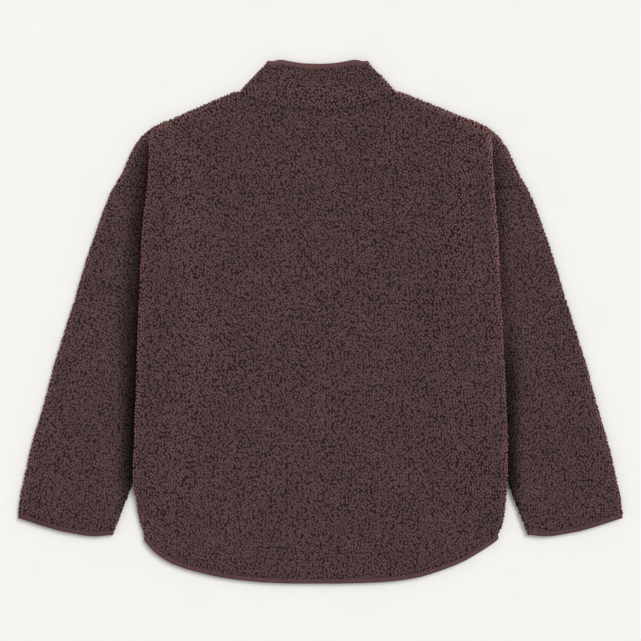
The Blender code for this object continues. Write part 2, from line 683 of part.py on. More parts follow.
def front_outline(sign):
    """Cut edge of one front, from the hem at the centre out to the side seam, up the armhole and along
    the shoulder and the neck. The first FRONT_HEM_CELLS + 1 points are the hem."""
    rows = body_row_stations()
    rows = rows[rows < 2]
    side_seam = back_point(np.full(rows.shape, float(sign)), np.full(rows.shape, 3.0), rows)[:, :2]
    side_seam[:, 0] = np.abs(side_seam[:, 0]) - SIDE_SEAM
    down, _ = sleeve_stations()
    arm = armhole_front(down[::-1])[:-1]
    arm[:, 0] -= FRONT_ARM_SEAM
    arm[0] = UNDERARM_FRONT
    tip, tip_away = armhole_tip()
    beside = np.array([tip_away[1], -tip_away[0]])
    corner = tip - tip_away * (SEWN_FLAT + SEAM) + beside * FRONT_CORNER
    edge, away = turned_edge(shoulder_edge(sign), WRAP_CELLS, sign)
    shoulder = edge[-1, ::-1, :2] - away[::-1] * SEAM
    shoulder = (shoulder - placed(0, shoulder[:, 1], 0)[..., :2] * [1, 0]) * [sign, 1]
    neck_x = np.linspace(NECK_X, ZIP_HALF, NECK_CELLS + 1)
    neck = offset_line(np.stack([neck_x, curve(NECK_FRONT, neck_x)], axis=-1), SEAM / 2)
    down_neck = (neck[1] - neck[0]) / np.linalg.norm(neck[1] - neck[0])
    neck[0] += (SEWN_FLAT + 2 * SEAM) * down_neck
    hem_x = np.linspace(ZIP_HALF, side_seam[0, 0], FRONT_HEM_CELLS + 1)
    hem_line = FRONT_HEM.copy()
    hem_line[-1] = side_seam[0] - np.array([0, TAPE_GAP])
    hem = np.stack([hem_x, curve(hem_line, hem_x) + TAPE_GAP], axis=-1)
    outline = np.concatenate([hem, side_seam[1:], arm, [corner], shoulder[1:-1], neck])
    return placed(sign * outline[:, 0], outline[:, 1], np.full(len(outline), FLOOR_Z))


# ---- The collar ----


def collar_sheet(stations, turn_cells):
    """The collar as one grid, from one front edge round the back to the other. It stands on the neck
    seam: its rows go from there (0) to the bound top edge (1)."""

    def line(table, ends):
        x = np.linspace(*ends, NECK_CELLS + 1)
        return np.stack([x, curve(table, x)], axis=-1)

    front_low = offset_line(line(NECK_FRONT, (ZIP_HALF, NECK_X)), SEAM / 2)
    back_low = line(NECK_BACK, (NECK_X, 0)) + [0, SEAM / 2]
    front_low[-1] = back_low[0] = np.array([NECK_X, NECK_Y]) + neck_clear()
    front_high = line(COLLAR_FRONT_TOP, (ZIP_HALF, COLLAR_TOP_X))
    back_high = line(COLLAR_BACK_TOP, (COLLAR_TOP_X, 0))
    middle = ease(np.linspace(0, COLLAR_FADE, NECK_CELLS + 1))
    angles = np.linspace(np.pi, 0, turn_cells + 1)[1:-1]
    half = []
    for r in stations:
        front, back = mix(front_low, front_high, r), mix(back_low, back_high, r)
        bulge = COLLAR_ROLL * np.sin(np.pi * np.clip((r - stations[1]) / COLLAR_ROLL_HIGH, 0, 1))
        sag = COLLAR_SAG * ease((r - COLLAR_SAG_FROM) / (1 - COLLAR_SAG_FROM))
        away = mix(neck_side(), COLLAR_SIDE, r)
        away /= np.linalg.norm(away)
        fold = front[-1] + away * (TURN * np.sin(angles))[:, None]
        half.append(np.concatenate([
            np.column_stack([front, np.full(len(front), FLOOR_Z)]),
            np.column_stack([fold, FLOOR_Z + TURN * (1 + np.cos(angles))]),
            np.column_stack([back, BACK_Z + (bulge - sag) * middle]),
        ]))
    half = np.array(half)
    other = half[:, ::-1][:, 1:] * np.array([-1, 1, 1])
    points = np.concatenate([half, other], axis=1)
    return placed(points[..., 0], points[..., 1], points[..., 2])


# ---- Solids ----


def material(name, colour, roughness, metallic=0.0):
    made = bpy.data.materials.new(name)
    made.use_nodes = True
    shader = made.node_tree.nodes["Principled BSDF"]
    shader.inputs["Base Color"].default_value = (*colour, 1)
    shader.inputs["Roughness"].default_value = roughness
    shader.inputs["Metallic"].default_value = metallic
    return made


def finish(name, bm, look, collection):
    """The mesh as a named object with its material."""
    bmesh.ops.recalc_face_normals(bm, faces=bm.faces)
    mesh = bpy.data.meshes.new(name)
    bm.to_mesh(mesh)
    bm.free()
    mesh.shade_smooth()
    mesh.set_sharp_from_angle(angle=np.radians(50))
    mesh.materials.append(look)
    made = bpy.data.objects.new(name, mesh)
    collection.objects.link(made)
    return made


def give_wall(panel):
    wall = panel.modifiers.new("wall", "SOLIDIFY")
    wall.thickness = CLOTH * MM
    wall.offset = 0.0


def cloth_panel(name, sheets, look, collection):
    """Grids of cloth joined into one panel, with the wall's thickness."""
    bm = bmesh.new()
    for points in sheets:
        add_sheet(bm, points)
    bmesh.ops.remove_doubles(bm, verts=bm.verts, dist=WELD * MM)
    give_wall(finish(name, bm, look, collection))


def flat_panel(name, outline, look, collection):
    """A panel that lies flat, from the points of its cut edge."""
    bm = bmesh.new()
    bm.faces.new([bm.verts.new(point * MM) for point in outline])
    give_wall(finish(name, bm, look, collection))


def swept(name, rings, closed, look, collection):
    """A solid through rings of points: (points of the profile, stations, 3)."""
    around = np.concatenate([rings, rings[:1]])
    if closed:
        around = np.concatenate([around, around[:, :1]], axis=1)
    bm = bmesh.new()
    add_sheet(bm, around)
    bmesh.ops.remove_doubles(bm, verts=bm.verts, dist=WELD * MM)
    if not closed:
        ends = [edge for edge in bm.edges if edge.is_boundary]
        bmesh.ops.holes_fill(bm, edges=ends, sides=len(rings))
    finish(name, bm, look, collection)


def tape(name, edge, inner, closed, look, collection):
    """Binding along a cut edge: a rounded strip that goes on from the cloth, away from the inner row."""
    if closed:
        along = np.roll(edge, -1, axis=0) - np.roll(edge, 1, axis=0)
    else:
        along = np.gradient(edge, axis=0)
    along /= np.linalg.norm(along, axis=1, keepdims=True)
    out = edge - inner
    out -= (out * along).sum(1, keepdims=True) * along
    out /= np.linalg.norm(out, axis=1, keepdims=True)
    for _ in range(CUFF_EASED if closed else TAPE_EASED):
        before, after = (np.roll(out, shift, axis=0) for shift in (1, -1))
        if not closed:
            before[0], after[-1] = out[0], out[-1]
        out = (before + 2 * out + after) / 4
        out -= (out * along).sum(1, keepdims=True) * along
        out /= np.linalg.norm(out, axis=1, keepdims=True)
    up = np.cross(along, out)
    half_width, half_thick = TAPE_WIDTH / 2, TAPE_THICK / 2
    centre = edge + out * (TAPE_CLEAR + half_width)
    profile = (
        (-half_width, -half_thick),
        (half_width - TAPE_ROUND, -half_thick),
        (half_width, 0),
        (half_width - TAPE_ROUND, half_thick),
        (-half_width, half_thick),
    )
    rings = np.array([centre + out * a + up * b for a, b in profile])
    rings[..., 2] = np.maximum(rings[..., 2], FLOOR_CLEAR)
    swept(name, rings, closed, look, collection)


def hem_edge(outlines):
    """(cut edge, points just inside it) of the whole hem, from one front edge round the back to the
    other. Where two panels meet, the point between them counts."""
    columns, rows = body_columns(), body_row_stations()[:2]
    edge, inner = [], []
    for sign in (-1, 1):
        front = outlines[sign][: FRONT_HEM_CELLS + 1]
        back = surface(back_point, sign, columns, rows)[:, ::-1]
        seam = mix(front[-1:], back[0, :1], 0.5)
        front_inner = front[:-1] + INWARDS
        edge.append(np.concatenate([front[:-1], seam, back[0, 1:]]))
        inner.append(np.concatenate([front_inner, seam + INWARDS, back[1, 1:]]))
    return [np.concatenate([half[0], half[1][::-1][1:]]) for half in (edge, inner)]


def along_front(name, profile, low_y, high_y, look, collection):
    """A bar of the closed zip, from its (x, z) profile. It follows the centre front to the neck."""
    bends = np.arange(SHIFT_FROM, high_y, ZIP_STEP)
    heights = np.concatenate([[low_y], bends[(bends > low_y + 1) & (bends < high_y - 1)], [high_y]])
    rings = np.array([placed(np.full(heights.shape, x), heights, z) for x, z in profile])
    swept(name, rings, False, look, collection)


def add_zip(low_y, high_y, tape_look, metal_look, collection):
    """Closed zip between the fronts, with the slider at its top and a soft strip as the puller. The
    outer side of the jacket's front faces down."""

    def box(low_x, high_x, low_z, high_z):
        return ((low_x, low_z), (high_x, low_z), (high_x, high_z), (low_x, high_z))

    slider_high = high_y - SLIDER_TOP
    slider_low = slider_high - SLIDER_LONG
    right_half = (
        (PLATE_HALF, PLATE_LOW), (PLATE_HALF, SLOT_LOW), (WEB_HALF, SLOT_LOW),
        (WEB_HALF, SLOT_HIGH), (PLATE_HALF, SLOT_HIGH), (PLATE_HALF, PLATE_HIGH),
    )
    slider = right_half + tuple((-x, z) for x, z in reversed(right_half))
    left_tape = box(-TAPE_OUTER, -TAPE_INNER, TAPE_LOW, TAPE_HIGH)
    right_tape = box(TAPE_INNER, TAPE_OUTER, TAPE_LOW, TAPE_HIGH)
    chain = box(-CHAIN_HALF, CHAIN_HALF, CHAIN_LOW, CHAIN_HIGH)
    puller = box(-PULLER_HALF, PULLER_HALF, PULLER_LOW, PULLER_HIGH)
    along_front("zip_tape_left", left_tape, low_y, high_y, tape_look, collection)
    along_front("zip_tape_right", right_tape, low_y, high_y, tape_look, collection)
    along_front("zip_chain", chain, low_y + CHAIN_STOP, slider_low - SEAM, metal_look, collection)
    along_front("zip_slider", slider, slider_low, slider_high, metal_look, collection)
    along_front("zip_puller", puller, slider_low - PULLER_LONG, slider_low - SEAM, tape_look, collection)


def build():
    for old in list(bpy.data.objects):
        bpy.data.objects.remove(old)
    jacket = bpy.data.collections.new("sherpa_jacket")
    bpy.context.scene.collection.children.link(jacket)
    sherpa = material("sherpa", (0.062, 0.037, 0.038), 0.95)
    binding = material("binding", (0.075, 0.031, 0.033), 0.7)
    zip_metal = material("zip_metal", (0.03, 0.026, 0.026), 0.4, 0.9)

    cloth_panel("back", back_sheets(), sherpa, jacket)
    down_arm, down_sleeve = sleeve_stations()
    outlines = {}
    for sign, word in ((-1, "left"), (1, "right")):
        outlines[sign] = front_outline(sign)
        flat_panel("front_" + word, outlines[sign], sherpa, jacket)
        rings = sleeve_rings(sign, down_arm, down_sleeve, WRAP_CELLS)
        cloth_panel("sleeve_" + word, [rings], sherpa, jacket)
        tape("cuff_binding_" + word, rings[-1, :-1], rings[-2, :-1], True, binding, jacket)
    collar = collar_sheet(COLLAR_STATIONS, WRAP_CELLS)
    cloth_panel("collar", [collar], sherpa, jacket)
    tape("collar_binding", collar[-1], collar[-2], False, binding, jacket)
    tape("hem_binding", *hem_edge(outlines), False, binding, jacket)
    add_zip(outlines[1][0, 1] - TAPE_WIDTH, collar[-1, 0, 1] - SEAM, binding, zip_metal, jacket)


build()
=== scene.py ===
"""Sherpa jacket lying flat on its front with its back upwards: its looks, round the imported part.

Each panel is a thin shell of knitted ground in the form of its solid, worked out from the same sizes as
the solid. The pile stands on it as curls, small lumps of looped yarn scattered a few millimetres apart
and joined into a few meshes, wherever the pile can be seen. On the sides that face the floor or another
layer, the ground's own finish stands for it.

Lengths are millimetres on the lying garment: x from its centre line, y from the middle of its length
towards the collar, z over the surface that it lies on. MM turns them to metres. "Across" is x without
its sign, so that a table serves both sides.
"""

import json

import bmesh
import bpy
import numpy as np
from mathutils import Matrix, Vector

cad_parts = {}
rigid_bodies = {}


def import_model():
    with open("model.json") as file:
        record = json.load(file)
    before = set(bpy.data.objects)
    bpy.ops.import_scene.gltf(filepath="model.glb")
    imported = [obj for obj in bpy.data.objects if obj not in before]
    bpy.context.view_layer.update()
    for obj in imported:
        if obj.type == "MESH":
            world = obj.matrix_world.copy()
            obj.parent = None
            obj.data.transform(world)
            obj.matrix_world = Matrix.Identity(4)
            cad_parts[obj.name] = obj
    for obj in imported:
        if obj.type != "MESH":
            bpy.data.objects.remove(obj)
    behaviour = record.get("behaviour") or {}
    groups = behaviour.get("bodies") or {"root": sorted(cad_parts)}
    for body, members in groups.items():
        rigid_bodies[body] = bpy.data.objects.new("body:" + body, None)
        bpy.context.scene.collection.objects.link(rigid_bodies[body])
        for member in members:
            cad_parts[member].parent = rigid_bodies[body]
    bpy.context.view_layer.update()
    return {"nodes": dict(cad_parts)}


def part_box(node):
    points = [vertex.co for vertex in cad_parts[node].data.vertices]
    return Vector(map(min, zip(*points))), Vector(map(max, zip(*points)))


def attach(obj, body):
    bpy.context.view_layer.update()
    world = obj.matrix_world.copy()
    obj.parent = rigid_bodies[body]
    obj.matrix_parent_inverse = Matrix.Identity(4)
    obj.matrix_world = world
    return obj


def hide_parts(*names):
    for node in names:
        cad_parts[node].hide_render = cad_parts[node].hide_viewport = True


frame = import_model()

MM = 0.001

# Number of cells across each stretch of cloth
NECK_CELLS, SHOULDER_CELLS, FOLD_CELLS, RAMP_CELLS = 16, 20, 8, 6
PLEAT_CELLS, DROP_CELLS, WRAP_CELLS = 8, 7, 8
HEM_ROWS, SIDE_ROWS, BELOW_ARM_ROWS, ARMHOLE_ROWS, YOKE_ROWS = 16, 26, 3, 28, 20
SLEEVE_SEEN_CELLS, SLEEVE_ROWS, SLEEVE_TURN_CELLS = 8, 56, 10
FRONT_HEM_CELLS = 40
COLLAR_STATIONS = np.concatenate([[0.0], np.linspace(0.08, 1.0, 13)])  # rows, up from its seam

# Cloth
CLOTH = 5.0  # sherpa wall: 1 mm of knit backing and 4 mm of curled pile
LAYER = 6.6  # from the middle of one lying layer to the middle of the next
TURN = LAYER / 2  # radius of a soft fold, in the middle of the wall
SEAM = 0.3  # left between sewn pieces
SIDE_SEAM, ARM_SEAM = 1.2, 0.6  # the same where the pieces meet at an angle
FLOOR_Z = CLOTH / 2  # middle of a layer that lies on the surface
BACK_Z = FLOOR_Z + LAYER  # middle of the layer that lies on that one
UNDER_Z = BACK_Z + LAYER  # where the back runs in under its own side fold
TOP_Z = UNDER_Z + LAYER  # where the back lies over the sleeve
EDGE = TURN + CLOTH / 2  # from the seen edge in to where a layer starts to turn down

SEAM_UPRIGHT = 0.6  # half of the upright stretch that the sleeve's seam lies in

# Bound edges: a flat tape folded over the cut edge
TAPE_WIDTH = 6.0
TAPE_THICK = 3.4
TAPE_CLEAR = 0.72  # between the tape and the cloth, which turns away from it at the folds
TAPE_GAP = TAPE_WIDTH + TAPE_CLEAR
FLOOR_CLEAR = 0.3  # lowest that a tape reaches
TAPE_EASED = 3  # times that the tape's lie is evened out along its edge
CUFF_EASED = 16  # the same round a cuff
WELD = 0.02  # points closer than this are one
INWARDS = np.array([0.0, 10.0, 0.0])  # from a front's hem to a point just inside it

# Heights (y) between which the rows of the body lie
TIP_Y = 181.5  # armhole seam, under the side fold
UNDERARM_Y = -22.5
SIDE_Y = -224.0  # where the sleeve comes out from under the body
NECK_X = 106.0  # side of the neck, where the shoulder seam starts
NECK_Y = 312.0
NECK_MITRE = 2.6  # between the folds of the collar and the shoulder there, in the middle of the wall
NECK_SHIFT = -3.5  # the neck lies this far to the left of the hem's middle
SHIFT_FROM, SHIFT_OVER = 262.0, 50.0  # height at which that shift starts, and the length it grows over
ZIP_HALF = 7.0  # from the centre front to each front edge

# Seen edge of the shoulder and the sleeve, from the cuff up to the neck
SIDE_LINE = np.array([
    # y,      across
    (-265.2, 417.3),
    (-246.3, 415.4),
    (-229.8, 412.0),
    (-196.7, 405.0),
    (-163.5, 396.8),
    (-130.4, 387.0),
    (-97.3, 377.4),
    (-64.0, 369.0),
    (-31.0, 358.8),
    (2.0, 348.5),
    (35.2, 338.0),
    (68.3, 328.4),
    (101.4, 318.0),
    (134.6, 306.4),
    (167.7, 294.0),
    (184.2, 286.6),
    (191.0, 282.6),
    (200.8, 276.2),
    (217.4, 268.6),
    (233.9, 261.0),
    (250.5, 250.5),
    (258.8, 243.8),
    (264.3, 237.4),
    (269.8, 226.8),
    (280.8, 201.6),
    (291.9, 176.0),
    (302.9, 150.5),
    (319.5, 109.5),
])

# Inner edge of the sleeve, most of it under the body
SLEEVE_INNER = np.array([
    # y,      across
    (-288.0, 283.8),
    (-262.0, 273.5),
    (-229.8, 261.2),
    (-160.0, 237.0),
    (-100.0, 215.0),
    (-25.5, 190.0),
])

# Side of the body. The back turns round the fold and runs in again under it to "run_end": below the
# armhole this is the side seam, above it the inner turn on to the sleeve. "lift" is where the back
# rises from the fronts to lie over the sleeve.
SIDE_COLUMNS = ("y", "fold_left", "fold_right", "run_end", "run_z", "lift_from", "lift_to", "top_z")
SIDE = np.array([
    (-301.5, 243.0, 244.2, 224.0, FLOOR_Z, 200.0, 236.0, BACK_Z),
    (-296.0, 243.8, 246.0, 224.5, FLOOR_Z, 200.0, 236.0, BACK_Z),
    (-279.5, 248.8, 252.0, 226.0, FLOOR_Z, 196.0, 238.0, BACK_Z),
    (-262.9, 251.8, 255.0, 227.0, FLOOR_Z, 190.0, 240.0, 10.4),
    (-246.3, 254.3, 256.4, 227.0, FLOOR_Z, 180.0, 242.0, 13.2),
    (-224.0, 257.2, 257.4, 225.0, FLOOR_Z, 168.0, 244.0, 17.6),
    (-200.0, 257.4, 257.4, 214.0, FLOOR_Z, 158.0, 242.0, 20.8),
    (-163.5, 255.7, 257.2, 201.0, FLOOR_Z, 150.0, 236.0, TOP_Z),
    (-108.3, 253.6, 255.2, 183.0, FLOOR_Z, 142.0, 218.0, TOP_Z),
    (-66.0, 252.4, 253.3, 164.0, FLOOR_Z, 138.0, 196.0, TOP_Z),
    (-42.0, 251.6, 251.6, 167.0, FLOOR_Z, 135.0, 190.0, TOP_Z),
    (UNDERARM_Y, 251.0, 250.5, 193.2, UNDER_Z, 134.0, 184.0, TOP_Z),
    (29.7, 248.8, 248.0, 203.6, UNDER_Z, 140.0, 193.0, TOP_Z),
    (126.3, 244.7, 243.2, 218.6, UNDER_Z, 154.0, 208.0, TOP_Z),
    (TIP_Y, 238.0, 239.0, 226.4, UNDER_Z, 166.0, 216.0, TOP_Z),
])

# The pleat closes to nothing from the armhole seam (up = 0) to the shoulder corner (up = 1).
PLEAT_COLUMNS = ("up", "turn_angle", "radius", "edge_left", "edge_right")
PLEAT = np.array([
    (0.00, 180.0, TURN, 238.0, 239.0),
    (0.30, 172.0, TURN, 236.5, 237.6),
    (0.55, 132.0, TURN, 235.6, 236.4),
    (0.80, 66.0, 4.6, 235.2, 235.6),
    (1.00, 18.0, 8.0, 235.0, 235.0),
])
PLEAT_RUN = 3.0  # flat stretch between its two turns, at the shoulder corner
PLEAT_CLOSES = (0.3, 0.8)  # shares of its height between which the back comes down beside it
YOKE_SLOPE = 60.0  # width over which the back comes down there
YOKE_HALF = 223.0  # across, to the last flat column at the shoulder corner
CORNER_X = 241.0  # where the outer edge of the dropped shoulder starts, at the shoulder corner
SHOULDER_REACH = 40.0  # how far below the armhole seam the shoulder's edge is still looked up

# Seen hem of the back, from its left fold to its right one
BACK_HEM = np.array([
    # x,       y
    (-243.0, -301.6),
    (-229.0, -317.8),
    (-209.6, -331.2),
    (-190.3, -339.3),
    (-171.0, -345.0),
    (-140.0, -352.1),
    (-112.0, -356.3),
    (-70.8, -360.0),
    (-30.0, -361.2),
    (20.0, -361.2),
    (60.0, -360.4),
    (94.0, -358.6),
    (132.6, -353.3),
    (163.8, -344.2),
    (196.0, -331.5),
    (215.4, -320.7),
    (234.9, -308.2),
    (244.5, -301.3),
])
SEWN_FLAT = 3.0  # how far the back runs in under the shoulder before its seam with the front
HEM_SIDE_RISE = 11.0  # how far the hem rises round the side fold and under it, to the side seam
HEM_SIDE_REACH = 24.0  # length of the hem over which it does
HEM_SIDE_ROW = 0.2  # share of that rise at which the heights of the side's rows start
HEM_CORNER_Y = -295.0  # first guess of the height where the hem meets the side fold
FOLD_OVER_HEM = 3.0  # the fold's place is read this far above the cut edge

# Hem of each front, from its side seam to the centre front. It rises into the same curve at the side.
FRONT_HEM = np.array([
    # across, y
    (0.0, -355.4),
    (60.0, -353.4),
    (105.0, -346.5),
    (150.0, -333.5),
    (180.0, -316.0),
    (204.0, -297.0),
    (224.0, -288.0),
])

NECK_BACK = np.array([
    # across, y
    (0.0, 290.5),
    (28.0, 291.8),
    (62.5, 298.0),
    (90.0, 306.4),
    (NECK_X, NECK_Y),
])
NECK_FRONT = np.array([
    # across, y
    (0.0, 231.4),
    (7.0, 231.8),
    (32.0, 236.5),
    (60.0, 249.0),
    (84.0, 270.0),
    (100.0, 295.0),
    (NECK_X, NECK_Y),
])

# Collar: its top edge, which dips at the centre back and drops well below that at the front
COLLAR_TOP_X = 65.6
COLLAR_TOP_Y = 355.0
COLLAR_BACK_TOP = np.array([
    # across, y
    (0.0, 348.0),
    (20.0, 348.8),
    (40.0, 351.6),
    (54.0, 354.0),
    (COLLAR_TOP_X, COLLAR_TOP_Y),
])
COLLAR_FRONT_TOP = np.array([
    # across, y
    (0.0, 292.5),
    (7.0, 293.0),
    (28.0, 298.0),
    (46.0, 315.0),
    (58.0, 338.0),
    (COLLAR_TOP_X, COLLAR_TOP_Y),
])
COLLAR_ROLL = 3.0  # how far the collar bulges just over its seam
COLLAR_ROLL_HIGH = 0.44  # share of its height that the bulge takes
COLLAR_SAG = 2.6  # how far its upper edge sinks at the centre back
COLLAR_SAG_FROM = 0.3  # share of its height at which it starts to sink
COLLAR_SIDE = np.array([1.0, 0.1])  # direction of its side fold, at the top edge
COLLAR_FADE = 1.6  # how soon bulge and sag grow, in from the side fold: 1 is the whole way

# Armhole seam between the sleeve and the body, from the outer edge down to the underarm
TIP_SIDE_Y = 190.8  # height of its outer end on the seen edge
HIDDEN_FROM = 0.3  # share of the back's seam that shows, beside the side fold
CUFF_INSIDE = 1.0  # how far the sleeve's cut edge stays above the end of its edge line

# How far the cuff hangs below the straight line between its two corners
CUFF_DIP = np.array([
    # along, dip
    (0.00, 0.0),
    (0.14, 2.5),
    (0.30, 5.3),
    (0.50, 7.2),
    (0.70, 7.2),
    (0.83, 5.6),
    (0.93, 2.6),
    (1.00, 0.0),
])
ARMHOLE_FRONT = np.array([
    # down, across, y
    (0.00, 277.6, 186.4),
    (0.20, 264.0, 150.0),
    (0.45, 245.0, 96.0),
    (0.70, 223.0, 38.0),
    (0.88, 205.0, -4.0),
    (1.00, 194.8, -23.6),
])

UNDERARM_FRONT = np.array([187.5, -26.0])  # corner of the front there, clear of the sleeve's turn
FRONT_ARM_SEAM = SEAM + 0.1  # left along the front's curved armhole, where its points are sparse
FRONT_CORNER = 1.5  # how far the front's shoulder corner stays from the armhole's end

# Soft ridges (+) and troughs (-) of the lying cloth. They fade out over these lengths at the side of
# the body and at its shoulders, and over these shares of the sleeve at its two ends.
FADE_SIDE, FADE_TOP = 24.0, 20.0
SLEEVE_FADE_TOP, SLEEVE_FADE_CUFF = 0.1, 0.06
FOLD_COLUMNS = ("x", "y", "turn", "long", "wide", "high")
BACK_FOLDS = (
    (176.0, 80.0, 84.0, 95.0, 20.0, -1.3),
    (128.0, -95.0, 86.0, 120.0, 26.0, 1.2),
    (-128.0, -70.0, 62.0, 120.0, 40.0, -1.1),
    (20.0, 60.0, 90.0, 120.0, 60.0, 1.4),
    (-60.0, -190.0, 12.0, 120.0, 34.0, 1.0),
    (70.0, -240.0, -10.0, 110.0, 30.0, -0.9),
    (-90.0, 180.0, 25.0, 110.0, 34.0, -1.0),
    (90.0, 210.0, -28.0, 100.0, 30.0, 1.0),
)
SLEEVE_FOLDS = (
    (-272.0, 40.0, 72.0, 150.0, 16.0, -1.0),
    (-330.0, -120.0, 70.0, 110.0, 26.0, 1.2),
    (-300.0, 120.0, 60.0, 60.0, 18.0, 1.0),
    (270.0, -80.0, 98.0, 90.0, 12.0, -1.1),
    (296.0, -110.0, 100.0, 110.0, 15.0, 1.4),
    (262.0, 150.0, -60.0, 45.0, 12.0, 1.1),
    (340.0, -30.0, 108.0, 120.0, 22.0, 0.9),
)

BELOW_ARM = 0.903  # row just below the underarm, where the back has already come down to the fronts
DROP_FLAT = 0.04  # share of the dropped shoulder next to its pleat that is kept flat for the seam
RAMP_FROM, RAMP_TO = 0.25, 0.88  # share of the run under the side fold where it slopes to the fronts
RAMP_CLEAR, RAMP_INSIDE = 1.0, 2.0  # least from the slope's start to the sleeve, and to the side fold
RAMP_LEAST = 8.0  # least length of the slope
EDGE_SAMPLES = 400  # points in which the shoulder's edge is looked up
GUESSES = 8  # rounds that find the hem's corner


# ---- Lines ----


def curve(table, at, column=1):
    """A smooth line through a table's rows that never overshoots them. The first column rises."""
    x, y = table[:, 0], table[:, column]
    slope = np.diff(y) / np.diff(x)
    inner = np.zeros(len(x) - 2)
    same_way = slope[:-1] * slope[1:] > 0
    inner[same_way] = 2 / (1 / slope[:-1][same_way] + 1 / slope[1:][same_way])
    tangent = np.concatenate([slope[:1], inner, slope[-1:]])
    at = np.clip(at, x[0], x[-1])
    k = np.clip(np.searchsorted(x, at) - 1, 0, len(x) - 2)
    step = x[k + 1] - x[k]
    t = (at - x[k]) / step
    rise = (2 * t**3 - 3 * t**2 + 1) * y[k] + (3 * t**2 - 2 * t**3) * y[k + 1]
    return rise + step * ((t**3 - 2 * t**2 + t) * tangent[k] + (t**3 - t**2) * tangent[k + 1])


def ease(t):
    """0 up to t = 0, 1 from t = 1, and smooth between."""
    t = np.clip(t, 0.0, 1.0)
    return t * t * (3 - 2 * t)


def mix(a, b, t):
    return a + (b - a) * t


def side(column, y):
    return curve(SIDE, y, SIDE_COLUMNS.index(column))


def pleat(column, up):
    return curve(PLEAT, up, PLEAT_COLUMNS.index(column))


def relief(folds, x, y):
    """Height that the soft ridges and troughs add."""
    height = np.zeros_like(x)
    for fold in folds:
        f = dict(zip(FOLD_COLUMNS, fold))
        turn = np.radians(f["turn"])
        along = (x - f["x"]) * np.cos(turn) + (y - f["y"]) * np.sin(turn)
        over = (y - f["y"]) * np.cos(turn) - (x - f["x"]) * np.sin(turn)
        height += f["high"] * np.exp(-((along / f["long"]) ** 2) - (over / f["wide"]) ** 2)
    return height


def edge_line(table, y, inset, outwards):
    """Points on a seen edge, moved in by inset, and the direction that faces away from the cloth."""
    slope = curve(table, y + 0.5) - curve(table, y - 0.5)
    length = np.sqrt(1 + slope**2)
    away = outwards * np.stack([1 / length, -slope / length], axis=-1)
    return np.stack([curve(table, y), y], axis=-1) - inset * away, away


def neck_clear():
    """Shift that keeps the collar's side fold clear of the shoulder's edge, at an angle to it."""
    away = neck_side()
    return NECK_MITRE * np.array([-away[1], away[0]])


def shoulder_y(across):
    """y of the line where the back starts to turn down at the shoulder."""
    heights = np.linspace(SIDE_LINE[-1, 0], TIP_Y - SHOULDER_REACH, EDGE_SAMPLES)
    points, _ = edge_line(SIDE_LINE, heights, EDGE, 1)
    return np.interp(across, points[:, 0], points[:, 1])


def armhole_tip():
    """Where the armhole seam meets the turn of the outer edge, and the direction out of the cloth."""
    points, away = edge_line(SIDE_LINE, np.array([TIP_SIDE_Y]), EDGE, 1)
    return points[0], away[0]


def neck_side():
    """Direction out of the cloth at the side of the neck."""
    _, away = edge_line(SIDE_LINE, SIDE_LINE[-1:, 0], EDGE, 1)
    return away[0]


def placed(x, y, z):
    """The points, with the neck drawn to its side."""
    x, y, z = np.broadcast_arrays(x, y, z)
    return np.stack([x + NECK_SHIFT * ease((y - SHIFT_FROM) / SHIFT_OVER), y, z], axis=-1)


def offset_line(points, distance):
    """A line in plan, moved to the left of its own direction."""
    along = np.gradient(points, axis=0)
    along /= np.linalg.norm(along, axis=1, keepdims=True)
    return points + distance * np.stack([-along[:, 1], along[:, 0]], axis=-1)


# ---- The back ----
# Its columns are numbered from the centre: 0 to 1 lies on the fronts (0.5 is the side of the neck),
# 1 to 2 is the side fold, 2 to 3 the run under it, 3 to 4 the pleat's inner turn and 4 to 5 the dropped
# shoulder, both of these above the armhole seam alone. Its rows go from the hem (0) past the sleeve's
# way out (1), the underarm (2) and the armhole seam (3) to the neck and the shoulder (4).


def sewn_flat():
    """Width of the narrow flat stretch that the back's hidden armhole seam ends in."""
    return DROP_FLAT * (armhole_tip()[0][0] - side("run_end", TIP_Y))


def fold_x(sign, y):
    """Across, to the middle of the wall at the side fold."""
    return np.where(sign < 0, side("fold_left", y), side("fold_right", y)) - CLOTH / 2


def hem_y(x):
    """Cut edge of the back at the hem, a tape's width above the seen edge."""
    slope = (curve(BACK_HEM, x + 1) - curve(BACK_HEM, x - 1)) / 2
    return curve(BACK_HEM, x) + TAPE_GAP * np.sqrt(1 + slope**2)


def hem_corner(sign):
    """(across, y) of the cut edge where the side fold starts, found along the fold itself."""
    y = np.full_like(sign, HEM_CORNER_Y)
    for _ in range(GUESSES):
        across = fold_x(sign, y + FOLD_OVER_HEM) - TURN
        y = hem_y(sign * across)
    return across, y


def body_rows(sign, row):
    """(row height at the side fold, share of the yoke) for each point."""
    _, corner_y = hem_corner(sign)
    marks = [corner_y + HEM_SIDE_RISE * HEM_SIDE_ROW, SIDE_Y, UNDERARM_Y, TIP_Y]
    y = mix(marks[0], marks[1], np.clip(row, 0, 1))
    y = np.where(row > 1, mix(marks[1], marks[2], row - 1), y)
    y = np.where(row > 2, mix(marks[2], marks[3], np.minimum(row - 2, 1)), y)
    return y, np.clip(row - 3, 0, 1)


